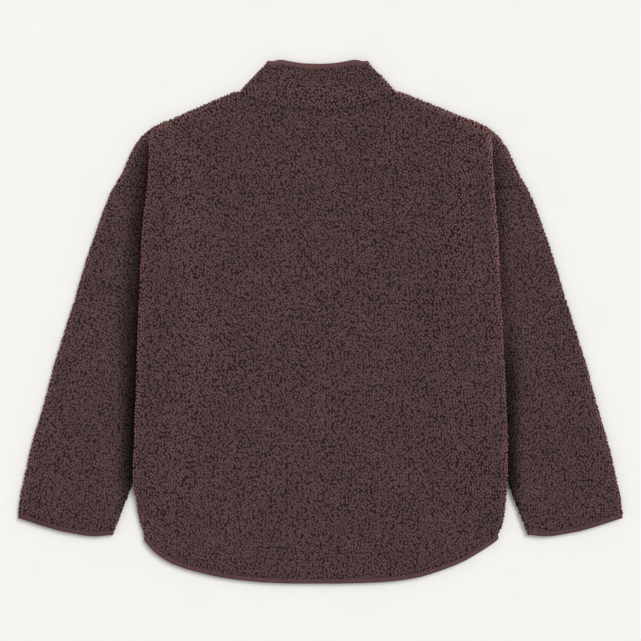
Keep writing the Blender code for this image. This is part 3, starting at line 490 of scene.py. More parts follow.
def back_point(sign, column, row):
    """Middle of the back's wall, for arrays of side (-1 or 1), column and row."""
    y_side, up = body_rows(sign, row)
    yoke = row > 3
    angle = np.where(yoke, np.radians(pleat("turn_angle", up)), np.pi)
    radius = np.where(yoke, pleat("radius", up), TURN)
    seen = np.where(sign < 0, pleat("edge_left", up), pleat("edge_right", up))
    start = np.where(yoke, seen - CLOTH / 2, fold_x(sign, y_side)) - radius
    run_end = side("run_end", y_side)
    run = mix(start - run_end, PLEAT_RUN, ease(2 * up))
    drop = 2 * radius * (1 - np.cos(angle)) + run * np.sin(angle)
    top = np.where(yoke, BACK_Z + drop, side("top_z", y_side))

    # side fold
    turned = np.clip(column - 1, 0, 1) * angle
    x = start + radius * np.sin(turned)
    z = top - radius * (1 - np.cos(turned))
    # run under the fold, down to the fronts below the armhole
    q = np.clip(column - 2, 0, 1)
    beside_sleeve = curve(SLEEVE_INNER, y_side) - RAMP_CLEAR
    ramp_from = np.maximum(np.minimum(start - RAMP_INSIDE, beside_sleeve), run_end + RAMP_LEAST)
    even = np.clip((row - 2) * ARMHOLE_ROWS, 0, 1)
    ramp_from = mix(ramp_from, mix(start, run_end, RAMP_FROM), even)
    run_x = mix(start, ramp_from, np.clip(q / RAMP_FROM, 0, 1))
    run_x = np.where(q > RAMP_FROM, mix(ramp_from, run_end, (q - RAMP_FROM) / (1 - RAMP_FROM)), run_x)
    under = top - 2 * TURN
    slope = ease((q - RAMP_FROM) / (RAMP_TO - RAMP_FROM))
    run_z = mix(under, np.minimum(side("run_z", y_side), under), slope)
    pleat_x = start + radius * np.sin(angle) + q * run * np.cos(angle)
    pleat_z = top - radius * (1 - np.cos(angle)) - q * run * np.sin(angle)
    x = np.where(column > 2, np.where(yoke, pleat_x, run_x), x)
    z = np.where(column > 2, np.where(yoke, pleat_z, run_z), z)
    # inner turn, on to the dropped shoulder or the sleeve
    left = angle * np.clip(4 - column, 0, 1)
    turn_x = np.where(yoke, pleat_x, run_end)
    x = np.where(column > 3, turn_x + radius * (np.sin(angle) - np.sin(left)), x)
    z = np.where(column > 3, pleat_z - radius * (np.cos(left) - np.cos(angle)), z)
    # main part
    neck_column = NECK_X / YOKE_HALF
    m = np.where(column < 0.5, 2 * column * neck_column, mix(neck_column, 1, 2 * column - 1))
    x = np.where(column < 1, m * start, x)
    neck_x = np.where(column <= 0.5, 2 * column * NECK_X, mix(NECK_X, start, 2 * column - 1))
    x = np.where((column < 1) & yoke, mix(x, neck_x, up), x)

    # heights of the rows
    across, corner_y = hem_corner(sign)
    past = TURN * np.pi * np.clip(column - 1, 0, 1) + across - np.where(column > 2, run_x, across)
    rise = HEM_SIDE_RISE * np.sin(np.pi / 2 * np.clip(past / HEM_SIDE_REACH, 0, 1))
    hem = np.where(column < 1, hem_y(sign * m * across), corner_y + rise)
    y = np.where(row < 1, mix(hem, SIDE_Y, row), y_side)
    reached = np.where(column <= 0.5, curve(NECK_BACK, x) - SEAM / 2, shoulder_y(x))
    y = np.where(yoke, mix(TIP_Y, reached, up), y)

    # dropped shoulder, from the pleat out to the edge
    tip, _ = armhole_tip()
    outer_x = mix(tip[0], CORNER_X, up)
    outer_y = shoulder_y(outer_x)
    share = np.clip(column - 4, 0, 1)
    base_y = mix(TIP_Y, shoulder_y(x), up)
    y = np.where((column > 4) & (row >= 3), mix(base_y, outer_y, share), y)
    x = np.where(column > 4, mix(x, outer_x, share), x)
    x = np.where((column > 4) & (row < 3), run_end + sewn_flat(), x)

    # the back rises to lie over the sleeve
    closing = ease((up - PLEAT_CLOSES[0]) / (PLEAT_CLOSES[1] - PLEAT_CLOSES[0]))
    lift_from = mix(side("lift_from", y_side), start - YOKE_SLOPE, closing)
    lift_to = mix(np.minimum(side("lift_to", y_side), start), start, closing)
    flat = BACK_Z + (top - BACK_Z) * ease((x - lift_from) / (lift_to - lift_from))
    inside = ease((start - x) / FADE_SIDE) * ease((reached - y) / FADE_TOP)
    soft = relief(BACK_FOLDS, sign * x, y) * np.where(column < 1, inside, 0)
    z = np.where(column < 1, flat + soft, z)
    return placed(sign * x, y, z)


def turned_edge(points, steps, sign):
    """Rows that carry the shoulder's edge round and under it, with a short flat end to sew, and the
    direction out of the cloth at each of its points."""
    _, away = edge_line(SIDE_LINE, points[:, 1], EDGE, 1)
    away[-1] = armhole_tip()[1]
    away = away * [sign, 1]
    radius = (points[:, 2] - FLOOR_Z) / 2
    rows = []
    for step in range(steps + 2):
        angle = np.pi * min(step / steps, 1)
        out = radius * np.sin(angle) - SEWN_FLAT * (step > steps)
        height = FLOOR_Z + radius * (1 + np.cos(angle))
        rows.append(np.column_stack([points[:, :2] + away * out[:, None], height]))
    return np.array(rows), away


def stretches(*stops):
    """Stations through (end, cells) stretches, from 0 or from the first stop's own start."""
    start, found = stops[0], [stops[0]]
    for end, cells in stops[1:]:
        found += list(np.linspace(start, end, cells + 1)[1:])
        start = end
    return np.array(found)


def run_columns():
    return 2 + stretches(0.0, (RAMP_FROM, 1), (RAMP_TO, RAMP_CELLS), (1, 1))


def body_columns():
    over = stretches(0.0, (0.5, NECK_CELLS), (1, SHOULDER_CELLS), (2, FOLD_CELLS))
    return np.concatenate([over, run_columns()[1:]])


def body_row_stations():
    below = (1 + BELOW_ARM, SIDE_ROWS)
    beside_arm = (3, ARMHOLE_ROWS)
    return stretches(0.0, (1, HEM_ROWS), below, (2, BELOW_ARM_ROWS), beside_arm, (4, YOKE_ROWS))


def drop_columns():
    """The pleat's inner turn and the dropped shoulder."""
    return stretches(3.0, (4, PLEAT_CELLS), (4 + DROP_FLAT, 1), (5, DROP_CELLS))


def surface(place, sign, columns, rows):
    c, r = np.meshgrid(columns, rows)
    return place(np.full(c.shape, float(sign)), c, r)


def shoulder_stations():
    """(column, row) along the back's shoulder edge, from the neck to the armhole seam."""
    along = stretches(0.5, (1, SHOULDER_CELLS), (2, FOLD_CELLS))
    along = np.concatenate([along, run_columns()[1:], drop_columns()[1:]])
    down = stretches(4.0, (3, YOKE_ROWS))[1:]
    columns = np.concatenate([along, np.full(len(down), 5.0)])
    return columns, np.concatenate([np.full(len(along), 4.0), down])


def shoulder_edge(sign):
    columns, rows = shoulder_stations()
    return back_point(np.full(columns.shape, float(sign)), columns, rows)


# ---- The sleeves ----


def armhole_front(down):
    """Armhole seam of the front, from the outer edge down to the underarm."""
    table = ARMHOLE_FRONT.copy()
    table[0, 1:], _ = armhole_tip()
    return np.stack([curve(table, down), curve(table, down, 2)], axis=-1)


def armhole_back(down):
    """Armhole seam of the back: the stretch that shows, then the one under the side fold."""
    tip, _ = armhole_tip()
    y = mix(TIP_Y, UNDERARM_Y, (down - HIDDEN_FROM) / (1 - HIDDEN_FROM))
    hidden = np.stack([side("run_end", y) + sewn_flat() + SEAM, y + SEAM], axis=-1)
    inner = np.array([side("run_end", TIP_Y) + sewn_flat() + SEAM, TIP_Y])
    seen = mix(tip, inner, np.clip(down / HIDDEN_FROM, 0, 1)[:, None])
    return np.where(down[:, None] <= HIDDEN_FROM, seen, hidden)


def coons(bottom, top, left, right, s, t):
    """Grid of points between four edges: s runs along bottom and top, t along left and right."""
    s, t = s[None, :, None], t[:, None, None]
    across = mix(left[:, None], right[:, None], s)
    along = mix(bottom[None], top[None], t)
    corners = mix(mix(bottom[0], bottom[-1], s), mix(top[0], top[-1], s), t)
    return across + along - corners


def sleeve_stations():
    along = stretches(0.0, (HIDDEN_FROM, SLEEVE_SEEN_CELLS), (1, ARMHOLE_ROWS))
    return along, np.linspace(0, 1, SLEEVE_ROWS + 1)


def sleeve_rings(sign, along, down, turn_cells):
    """The sleeve as one grid: a row for each ring, from the underarm seam over the upper layer, round
    the outer edge and back under it to the seam."""
    tip, _ = armhole_tip()
    outer_y = mix(TIP_SIDE_Y, SIDE_LINE[0, 0] + CUFF_INSIDE, down)
    outer, outer_away = edge_line(SIDE_LINE, outer_y, EDGE, 1)
    inner_y = mix(SLEEVE_INNER[-1, 0], SLEEVE_INNER[0, 0], down)
    inner, inner_away = edge_line(SLEEVE_INNER, inner_y, EDGE, -1)
    cuff = mix(outer[-1], inner[-1], along[:, None])
    cuff[:, 1] -= curve(CUFF_DIP, along)
    layers = []
    for seam, layer_z in ((armhole_back(along), BACK_Z), (armhole_front(along), FLOOR_Z)):
        seam[0], seam[-1] = tip, inner[0]
        flat = coons(seam, cuff, outer, inner, along, down)
        flat[..., 1] -= ARM_SEAM
        layers.append(np.dstack([flat, np.full(flat.shape[:2], layer_z)]))
    upper, lower = layers
    ends = ease(down / SLEEVE_FADE_TOP) * ease((1 - down) / SLEEVE_FADE_CUFF)
    inside = ease(4 * along * (1 - along))[None] * ends[:, None]
    upper[..., 2] += relief(SLEEVE_FOLDS, sign * upper[..., 0], upper[..., 1]) * inside

    def turn(edge, away, out, height):
        plan = edge[:, None, :] + away[:, None, :] * out[None, :, None]
        plan[..., 1] -= ARM_SEAM
        return np.dstack([plan, np.broadcast_to(height, plan.shape[:2])])

    # The seam lies in the middle of the inner turn, between short upright ends.
    middle = (FLOOR_Z + BACK_Z) / 2
    quarter = np.linspace(np.pi / 2, 0, turn_cells // 2 + 1)
    out = np.concatenate([[TURN], TURN * np.sin(quarter)])
    rise = np.concatenate([[SEAM / 2], SEAM_UPRIGHT + (TURN - SEAM_UPRIGHT) * np.cos(quarter)])
    half = np.linspace(0, np.pi, turn_cells + 1)
    ring = [
        turn(inner, inner_away, out, middle + rise)[:, :-1],
        upper[:, ::-1],
        turn(outer, outer_away, TURN * np.sin(half), middle + TURN * np.cos(half))[:, 1:-1],
        lower,
        turn(inner, inner_away, out, middle - rise)[:, ::-1][:, 1:],
    ]
    points = np.concatenate(ring, axis=1)
    return placed(sign * points[..., 0], points[..., 1], points[..., 2])


# ---- The fronts ----


def front_outline(sign):
    """Cut edge of one front, from the hem at the centre out to the side seam, up the armhole and along
    the shoulder and the neck. The first FRONT_HEM_CELLS + 1 points are the hem."""
    rows = body_row_stations()
    rows = rows[rows < 2]
    side_seam = back_point(np.full(rows.shape, float(sign)), np.full(rows.shape, 3.0), rows)[:, :2]
    side_seam[:, 0] = np.abs(side_seam[:, 0]) - SIDE_SEAM
    down, _ = sleeve_stations()
    arm = armhole_front(down[::-1])[:-1]
    arm[:, 0] -= FRONT_ARM_SEAM
    arm[0] = UNDERARM_FRONT
    tip, tip_away = armhole_tip()
    beside = np.array([tip_away[1], -tip_away[0]])
    corner = tip - tip_away * (SEWN_FLAT + SEAM) + beside * FRONT_CORNER
    edge, away = turned_edge(shoulder_edge(sign), WRAP_CELLS, sign)
    shoulder = edge[-1, ::-1, :2] - away[::-1] * SEAM
    shoulder = (shoulder - placed(0, shoulder[:, 1], 0)[..., :2] * [1, 0]) * [sign, 1]
    neck_x = np.linspace(NECK_X, ZIP_HALF, NECK_CELLS + 1)
    neck = offset_line(np.stack([neck_x, curve(NECK_FRONT, neck_x)], axis=-1), SEAM / 2)
    down_neck = (neck[1] - neck[0]) / np.linalg.norm(neck[1] - neck[0])
    neck[0] += (SEWN_FLAT + 2 * SEAM) * down_neck
    hem_x = np.linspace(ZIP_HALF, side_seam[0, 0], FRONT_HEM_CELLS + 1)
    hem_line = FRONT_HEM.copy()
    hem_line[-1] = side_seam[0] - np.array([0, TAPE_GAP])
    hem = np.stack([hem_x, curve(hem_line, hem_x) + TAPE_GAP], axis=-1)
    outline = np.concatenate([hem, side_seam[1:], arm, [corner], shoulder[1:-1], neck])
    return placed(sign * outline[:, 0], outline[:, 1], np.full(len(outline), FLOOR_Z))


# ---- The collar ----


def collar_sheet(stations, turn_cells):
    """The collar as one grid, from one front edge round the back to the other. It stands on the neck
    seam: its rows go from there (0) to the bound top edge (1)."""

    def line(table, ends):
        x = np.linspace(*ends, NECK_CELLS + 1)
        return np.stack([x, curve(table, x)], axis=-1)

    front_low = offset_line(line(NECK_FRONT, (ZIP_HALF, NECK_X)), SEAM / 2)
    back_low = line(NECK_BACK, (NECK_X, 0)) + [0, SEAM / 2]
    front_low[-1] = back_low[0] = np.array([NECK_X, NECK_Y]) + neck_clear()
    front_high = line(COLLAR_FRONT_TOP, (ZIP_HALF, COLLAR_TOP_X))
    back_high = line(COLLAR_BACK_TOP, (COLLAR_TOP_X, 0))
    middle = ease(np.linspace(0, COLLAR_FADE, NECK_CELLS + 1))
    angles = np.linspace(np.pi, 0, turn_cells + 1)[1:-1]
    half = []
    for r in stations:
        front, back = mix(front_low, front_high, r), mix(back_low, back_high, r)
        bulge = COLLAR_ROLL * np.sin(np.pi * np.clip((r - stations[1]) / COLLAR_ROLL_HIGH, 0, 1))
        sag = COLLAR_SAG * ease((r - COLLAR_SAG_FROM) / (1 - COLLAR_SAG_FROM))
        away = mix(neck_side(), COLLAR_SIDE, r)
        away /= np.linalg.norm(away)
        fold = front[-1] + away * (TURN * np.sin(angles))[:, None]
        half.append(np.concatenate([
            np.column_stack([front, np.full(len(front), FLOOR_Z)]),
            np.column_stack([fold, FLOOR_Z + TURN * (1 + np.cos(angles))]),
            np.column_stack([back, BACK_Z + (bulge - sag) * middle]),
        ]))
    half = np.array(half)
    other = half[:, ::-1][:, 1:] * np.array([-1, 1, 1])
    points = np.concatenate([half, other], axis=1)
    return placed(points[..., 0], points[..., 1], points[..., 2])


# ---- Finishes ----


def linear(colour):
    """The linear RGBA of an sRGB hex colour."""
    parts = [int(colour[i : i + 2], 16) / 255 for i in (1, 3, 5)]
    return tuple(c / 12.92 if c <= 0.04045 else ((c + 0.055) / 1.055) ** 2.4 for c in parts) + (1.0,)


def add(tree, kind, settings=(), inputs=()):
    """A node with its settings, each input set to a value or linked to another node's socket. The
    "stops" of a colour ramp are (place, hex colour) pairs."""
    node = tree.nodes.new(kind)
    for name, value in dict(settings).items():
        if name == "stops":
            marks = node.color_ramp.elements
            while len(marks) < len(value):
                marks.new(0.5)
            for mark, (place, colour) in zip(marks, value):
                mark.position, mark.color = place, linear(colour)
        else:
            setattr(node, name, value)
    for name, value in dict(inputs).items():
        if isinstance(value, bpy.types.NodeSocket):
            tree.links.new(value, node.inputs[name])
        else:
            node.inputs[name].default_value = value
    return node


def new_finish(name, roughness, settings=()):
    """A material's tree, its shader, with the values that are the same all over the surface, and the
    place on the piece that its patterns follow."""
    made = bpy.data.materials.new(name)
    made.use_nodes = True
    tree = made.node_tree
    shader = tree.nodes["Principled BSDF"]
    shader.inputs["Roughness"].default_value = roughness
    for socket, value in dict(settings).items():
        shader.inputs[socket].default_value = value
    return made, tree, shader, add(tree, "ShaderNodeTexCoord").outputs["Object"]


def per_mm(size):
    """Scale of a texture whose cells are this many millimetres wide."""
    return 1 / (size * MM)


def shaded(tree, colour, value, span, shades):
    """The colour times a factor that goes through shades while the value goes through span."""
    factor = add(tree, "ShaderNodeMapRange", {"clamp": True}, {
        "Value": value, "From Min": span[0], "From Max": span[1], "To Min": shades[0], "To Max": shades[1],
    })
    scaled = {0: colour, "Scale": factor.outputs["Result"]}
    return add(tree, "ShaderNodeVectorMath", {"operation": "SCALE"}, scaled).outputs[0]


def ribbed(tree, value, apart):
    """A soft wave from 0 to 1 along a value, with its ribs this far apart."""
    turns = add(tree, "ShaderNodeMath", {"operation": "MULTIPLY"}, {0: value, 1: 2 * np.pi / apart})
    wave = add(tree, "ShaderNodeMath", {"operation": "SINE"}, {0: turns.outputs[0]})
    half = {0: wave.outputs[0], 1: 0.5, 2: 0.5}
    return add(tree, "ShaderNodeMath", {"operation": "MULTIPLY_ADD"}, half).outputs[0]


def laid_on(tree, shader, colour, height, strength, deep, sunk=False):
    """Gives the shader its colour and the relief of a height, deep mm. Where sunk, high values lie low."""
    tree.links.new(colour, shader.inputs["Base Color"])
    relief_inputs = {"Strength": strength, "Distance": deep * MM, "Height": height}
    bump = add(tree, "ShaderNodeBump", {"invert": sunk}, relief_inputs)
    tree.links.new(bump.outputs["Normal"], shader.inputs["Normal"])


CURL = 4.2  # distance between the curls of the pile
FIBRE = 1.0  # loops of yarn in a curl; the real ones are about 0.3 mm, too fine to show
PATCH = 34.0  # patches where the nap lies another way
WALES = 2.0 * 6.28  # between the backing's wales, in the wave's own turns; the real ones are too fine
SOFT = 12.0  # lighter and darker places of the binding
BAND_RIBS = 1.3  # between the binding's ribs; the real ones are about 0.6 mm
TWIST = 0.8  # of the sewing thread
HERRINGBONE = 1.2  # width of a row of the zip tape's weave
WEAVE_RIBS = 0.9  # between its slanting ribs
PEEL = 1.5  # dimples of the slider's enamel
RUB = 6.0  # worn places of the teeth
TOOTH = 60.0  # clouds in the floor's paper
SHEEN = {"Sheen Weight": 0.07, "Sheen Roughness": 0.5, "Sheen Tint": linear("#b08c8a")}
MIDDLE = (0.3, 0.7)  # between these lie nearly all values of a noise


def patches(tree, place, colour):
    """Slight light and dark patches, where the nap has been stroked another way."""
    noise = add(tree, "ShaderNodeTexNoise", inputs={
        "Vector": place, "Scale": per_mm(PATCH), "Detail": 2.0, "Roughness": 0.55,
    })
    return shaded(tree, colour, noise.outputs["Fac"], MIDDLE, (0.94, 1.05))


def sherpa_curls():
    """Sherpa pile: polyester yarn looped, brushed and tumbled into curls. It is matte. Its colour is painted
    darker at the foot of each curl and lighter at its top: painted shade between the curls, nearly black,
    and a painted highlight on the tips. Bent over an edge it is painted redder and lighter, a painted
    highlight."""
    matte = {"Specular IOR Level": 0.05, **SHEEN}
    made, tree, shader, place = new_finish("sherpa_polyester_curls", 0.93, matte)
    # Per curl: its height on the curl, its share of the redder painted highlight, and its own tone times its
    # painted shade and highlights.
    tip, warm, tint = (
        add(tree, "ShaderNodeAttribute", {"attribute_name": name}).outputs["Fac"]
        for name in ("tip", "warm", "tint")
    )
    # The first ramp paints shade at each curl's foot and a highlight at its top; the second is the redder,
    # lighter painted highlight of turned edges and outer edges.
    plum, red = (add(tree, "ShaderNodeValToRGB", {"stops": stops}, {"Fac": tip}).outputs[0] for stops in (
        ((0.1, "#3e2e2f"), (0.5, "#4f3b3c"), (1.0, "#644c4d")),
        ((0.1, "#4a2f2f"), (0.5, "#664545"), (1.0, "#87605f")),
    ))
    colour = add(tree, "ShaderNodeMix", {"data_type": "RGBA"}, {0: warm, 6: plum, 7: red}).outputs[2]
    tinted = {0: colour, "Scale": tint}
    colour = add(tree, "ShaderNodeVectorMath", {"operation": "SCALE"}, tinted).outputs[0]
    loops = add(tree, "ShaderNodeTexVoronoi", {"feature": "SMOOTH_F1"}, {
        "Vector": place, "Scale": per_mm(FIBRE), "Smoothness": 0.4,
    })
    laid_on(tree, shader, patches(tree, place, colour), loops.outputs["Distance"], 0.5, 0.35, sunk=True)
    return made


def sherpa_ground():
    """The same pile where no curls are modelled, and the ground between them: cells of curls a few
    millimetres wide, painted lighter in their middles and dark in the gaps, as painted highlight and painted
    shade. "pile" is 1 where curls stand on it; the second value is the painted shade in the creases beside
    the body's side folds, where 1 takes the colour to black."""
    matte = {"Specular IOR Level": 0.05, **SHEEN}
    made, tree, shader, place = new_finish("sherpa_pile_ground", 0.95, matte)
    cells = add(tree, "ShaderNodeTexVoronoi", {"feature": "SMOOTH_F1"}, {
        "Vector": place, "Scale": per_mm(CURL), "Smoothness": 0.25, "Randomness": 0.9,
    })
    height = cells.outputs["Distance"]
    # Painted highlight on the middles of the cells and painted shade in the gaps between them
    stops = ((0.12, "#665152"), (0.4, "#4b393a"), (0.62, "#2a1e1f"))
    colour = add(tree, "ShaderNodeValToRGB", {"stops": stops}, {"Fac": height}).outputs[0]
    colour = patches(tree, place, colour)
    # Lighter where curls stand dense, and painted shade in the creases beside the side folds
    for name, shades in (("pile", (1.0, 1.1)), ("crease", (1.0, 0.0))):
        value = add(tree, "ShaderNodeAttribute", {"attribute_name": name}).outputs["Fac"]
        colour = shaded(tree, colour, value, (0.0, 1.0), shades)
    laid_on(tree, shader, colour, height, 0.8, 1.5, sunk=True)
    return made


def knit_backing():
    """Inside of the sherpa: the flat jersey ground that the pile is knitted into, with fine upright
    wales."""
    backing = {"Specular IOR Level": 0.3}
    made, tree, shader, place = new_finish("polyester_jersey_backing", 0.8, backing)
    wales = add(tree, "ShaderNodeTexWave", {"bands_direction": "X"}, {
        "Vector": place, "Scale": per_mm(WALES), "Distortion": 0.6, "Detail": 1.0, "Detail Scale": 2.0,
    }).outputs["Fac"]
    stops = ((0.0, "#3d2d2e"), (1.0, "#4f3b3c"))
    colour = add(tree, "ShaderNodeValToRGB", {"stops": stops}, {"Fac": wales}).outputs[0]
    laid_on(tree, shader, patches(tree, place, colour), wales, 0.4, 0.3)
    return made


def binding_knit():
    """Binding: a narrow band of elastane jersey folded over the edge. It is smooth next to the pile, a
    little redder, and its fine ribs run across the band. "along" is the way along the band, and "worn"
    is 1 where the neck has rubbed it lighter."""
    made, tree, shader, place = new_finish("elastane_jersey_binding", 0.62, {
        "Specular IOR Level": 0.35, "Sheen Weight": 0.12, "Sheen Roughness": 0.35,
        "Sheen Tint": linear("#a06a68"),
    })
    along, worn = (
        add(tree, "ShaderNodeAttribute", {"attribute_name": name}).outputs["Fac"]
        for name in ("along", "worn")
    )
    ribs = ribbed(tree, along, BAND_RIBS)
    stops = ((0.0, "#412727"), (1.0, "#5f3839"))
    colour = add(tree, "ShaderNodeValToRGB", {"stops": stops}, {"Fac": ribs}).outputs[0]
    colour = shaded(tree, colour, worn, (0.0, 1.0), (0.88, 1.22))
    soft = add(tree, "ShaderNodeTexNoise", inputs={"Vector": place, "Scale": per_mm(SOFT), "Detail": 3.0})
    colour = shaded(tree, colour, soft.outputs["Fac"], MIDDLE, (0.82, 1.15))
    laid_on(tree, shader, colour, ribs, 0.35, 0.4)
    return made


def sewing_thread():
    """Spun polyester sewing thread, dyed to match: a fine twist, slightly glossier than the cloth."""
    made, tree, shader, place = new_finish("spun_polyester_thread", 0.5, {"Specular IOR Level": 0.4})
    twist = add(tree, "ShaderNodeTexNoise", inputs={"Vector": place, "Scale": per_mm(TWIST), "Detail": 2.0})
    height = twist.outputs["Fac"]
    stops = ((0.3, "#2c1c1e"), (0.7, "#553a3c"))
    colour = add(tree, "ShaderNodeValToRGB", {"stops": stops}, {"Fac": height}).outputs[0]
    laid_on(tree, shader, colour, height, 0.4, 0.1)
    return made


def zip_weave():
    """Zip tape: woven polyester in a herringbone of fine ribs, matte and slightly stiff."""
    made, tree, shader, place = new_finish("woven_polyester_zip_tape", 0.75, {"Specular IOR Level": 0.3})
    x_way = add(tree, "ShaderNodeSeparateXYZ", inputs={0: place})
    across = {0: x_way.outputs[0], 1: HERRINGBONE * MM}
    fold = add(tree, "ShaderNodeMath", {"operation": "PINGPONG"}, across)
    slant = add(tree, "ShaderNodeMath", {"operation": "ADD"}, {0: fold.outputs[0], 1: x_way.outputs[1]})
    ribs = ribbed(tree, slant.outputs[0], WEAVE_RIBS * MM)
    stops = ((0.0, "#2f2021"), (1.0, "#4d3738"))
    colour = add(tree, "ShaderNodeValToRGB", {"stops": stops}, {"Fac": ribs}).outputs[0]
    laid_on(tree, shader, colour, ribs, 0.5, 0.3)
    return made


def rubbed(tree, shader, value, smooth, dull):
    """Roughness from smooth to dull, where the hand and the wash have rubbed."""
    rub = add(tree, "ShaderNodeMapRange", {"clamp": True}, {
        "Value": value, "From Min": MIDDLE[0], "From Max": MIDDLE[1], "To Min": smooth, "To Max": dull,
    })
    tree.links.new(rub.outputs["Result"], shader.inputs["Roughness"])


def zip_enamel():
    """Slider: die-cast zinc with baked dark enamel, smooth, with faint orange peel and worn edges."""
    made, tree, shader, place = new_finish("enamelled_zinc_slider", 0.35, {"Metallic": 0.85})
    peel = add(tree, "ShaderNodeTexNoise", inputs={"Vector": place, "Scale": per_mm(PEEL), "Detail": 3.0})
    height = peel.outputs["Fac"]
    stops = ((0.35, "#2b2425"), (0.75, "#433a3a"))
    colour = add(tree, "ShaderNodeValToRGB", {"stops": stops}, {"Fac": height}).outputs[0]
    rubbed(tree, shader, height, 0.28, 0.45)
    laid_on(tree, shader, colour, height, 0.15, 0.1)
    return made


def zip_plastic():
    """Teeth: moulded acetal in the cloth's colour, smooth and a little glossy, duller where it rubs."""
    made, tree, shader, place = new_finish("moulded_acetal_teeth", 0.38, {"IOR": 1.48})
    rub = add(tree, "ShaderNodeTexNoise", inputs={"Vector": place, "Scale": per_mm(RUB), "Detail": 3.0})
    stops = ((0.35, "#332627"), (0.7, "#4a3939"))
    colour = add(tree, "ShaderNodeValToRGB", {"stops": stops}, {"Fac": rub.outputs["Fac"]}).outputs[0]
    tree.links.new(colour, shader.inputs["Base Color"])
    rubbed(tree, shader, rub.outputs["Fac"], 0.3, 0.5)
    return made


def pale_paper():
    """Floor: matte off-white studio paper, with hardly any tooth."""
    made, tree, shader, place = new_finish("matte_studio_paper", 0.9, {"Specular IOR Level": 0.1})
    tooth = add(tree, "ShaderNodeTexNoise", inputs={"Vector": place, "Scale": per_mm(TOOTH), "Detail": 2.0})
    stops = ((0.3, "#f0efec"), (0.7, "#f2f1ee"))
    colour = add(tree, "ShaderNodeValToRGB", {"stops": stops}, {"Fac": tooth.outputs["Fac"]}).outputs[0]
    tree.links.new(colour, shader.inputs["Base Color"])
    return made


# ---- Cloth ----

PILE_DEEP = 1.3  # how far the face of the ground lies under the tips of the pile's solid
SEEN_UNDER = 0.3  # share of the run under the side fold that curls still cover
SLEEVE_UNDER = 9.0  # the same on the sleeve, in from the body's fold
SLEEVE_GROWS = 8.0  # width over which they grow dense there
SLEEVE_FREE, SLEEVE_FREE_OVER = 22.0, 20.0  # the whole sleeve is covered from so far over SIDE_Y down
FLOOR_PILE, FLOOR_PILE_OVER = 1.6, 1.5  # no curls under this height: the cloth rests there
OVERHANG = 1.3  # how far curls hang over a binding
HANGS_TO = 1.9  # column up to which they hang over the hem
CORNER_FROM, CORNER_OVER = 51.0, 8.0  # from here on the collar's binding is tucked in at its side fold
CORNER_TUCK = 4.3


def lay_grid(bm, points):
    """A grid of the operator, laid on the points (rows, columns, 3). Its verts come in their order."""
    rows, columns = points.shape[:2]
    made = bmesh.ops.create_grid(bm, x_segments=columns - 1, y_segments=rows - 1, size=1)["verts"]
    for vert, point in zip(made, points.reshape(-1, 3)):
        vert.co = point * MM
    return made


def new_piece(name, mesh, finishes):
    for finish in finishes:
        mesh.materials.append(finish)
    made = bpy.data.objects.new(name, mesh)
    bpy.context.scene.collection.objects.link(made)
    return made


def to_mesh(name, bm):
    mesh = bpy.data.meshes.new(name)
    bm.to_mesh(mesh)
    bm.free()
    mesh.shade_smooth()
    return mesh


def settle(obj):
    """The object's modifiers made part of its mesh."""
    graph = bpy.context.evaluated_depsgraph_get()
    seen = obj.evaluated_get(graph)
    mesh = bpy.data.meshes.new_from_object(seen, preserve_all_data_layers=True, depsgraph=graph)
    old = obj.data
    obj.modifiers.clear()
    obj.data = mesh
    mesh.name = obj.name
    bpy.data.meshes.remove(old)


def walled(shell, thick, offset):
    """The sheet with the thickness of its cloth, backing on the inner side."""
    wall = shell.modifiers.new("wall", "SOLIDIFY")
    wall.thickness = thick * MM
    wall.offset = offset
    wall.material_offset = 1
    settle(shell)
    return shell


def turn_outwards(bm):
    """Makes the faces of a lying sheet point out of the garment: up over the middle, down under it."""
    bmesh.ops.recalc_face_normals(bm, faces=bm.faces)
    middle = sum(v.co.z for v in bm.verts) / len(bm.verts)
    up = sum(f.normal.z * f.calc_area() * (f.calc_center_median().z - middle) for f in bm.faces)
    if up < 0:
        bmesh.ops.reverse_faces(bm, faces=bm.faces)


def outwards(edge, inner):
    """Direction out of the cloth at each point of a cut edge."""
    out = edge - inner
    return out / np.linalg.norm(out, axis=-1, keepdims=True)


def overhang(edge, inner):
    """A strip out from a cut edge, on which curls hang over the binding."""
    out = outwards(edge, inner)
    return np.stack([edge + out * (OVERHANG * share) for share in (0.0, 0.5, 1.0)])


def off_floor(points):
    """How densely curls stand near the floor, from 0 where the cloth rests on it to 1."""
    return ease((points[..., 2] - FLOOR_PILE) / FLOOR_PILE_OVER)


def cloth(name, sheets, hanging, finishes):
    """(shell, bed) of a panel: the shell is the ground with its thickness, and the bed is the sheet
    that the curls are scattered on, with the strips where they hang over an edge."""
    meshes = []
    for chosen in (sheets, sheets + hanging):
        bm = bmesh.new()
        dense, deep = (bm.verts.layers.float.new(key) for key in ("pile", "crease"))
        for points, density in chosen:
            made = lay_grid(bm, points)
            for vert, share in zip(made, np.broadcast_to(density, points.shape[:2]).ravel()):
                vert[dense] = share
        bmesh.ops.remove_doubles(bm, verts=bm.verts, dist=WELD * MM)
        for vert in bm.verts:
            # Painted shade of the creases beside the side folds, for the ground's colour
            vert[deep] = crease(name, vert.co.x / MM, vert.co.y / MM)
        turn_outwards(bm)
        meshes.append(to_mesh(name, bm))
    bed = new_piece(name + "_bed", meshes[1], ())
    shell = new_piece(name, meshes[0], finishes)
    return walled(shell, CLOTH - PILE_DEEP, -PILE_DEEP / (CLOTH - PILE_DEEP)), bed


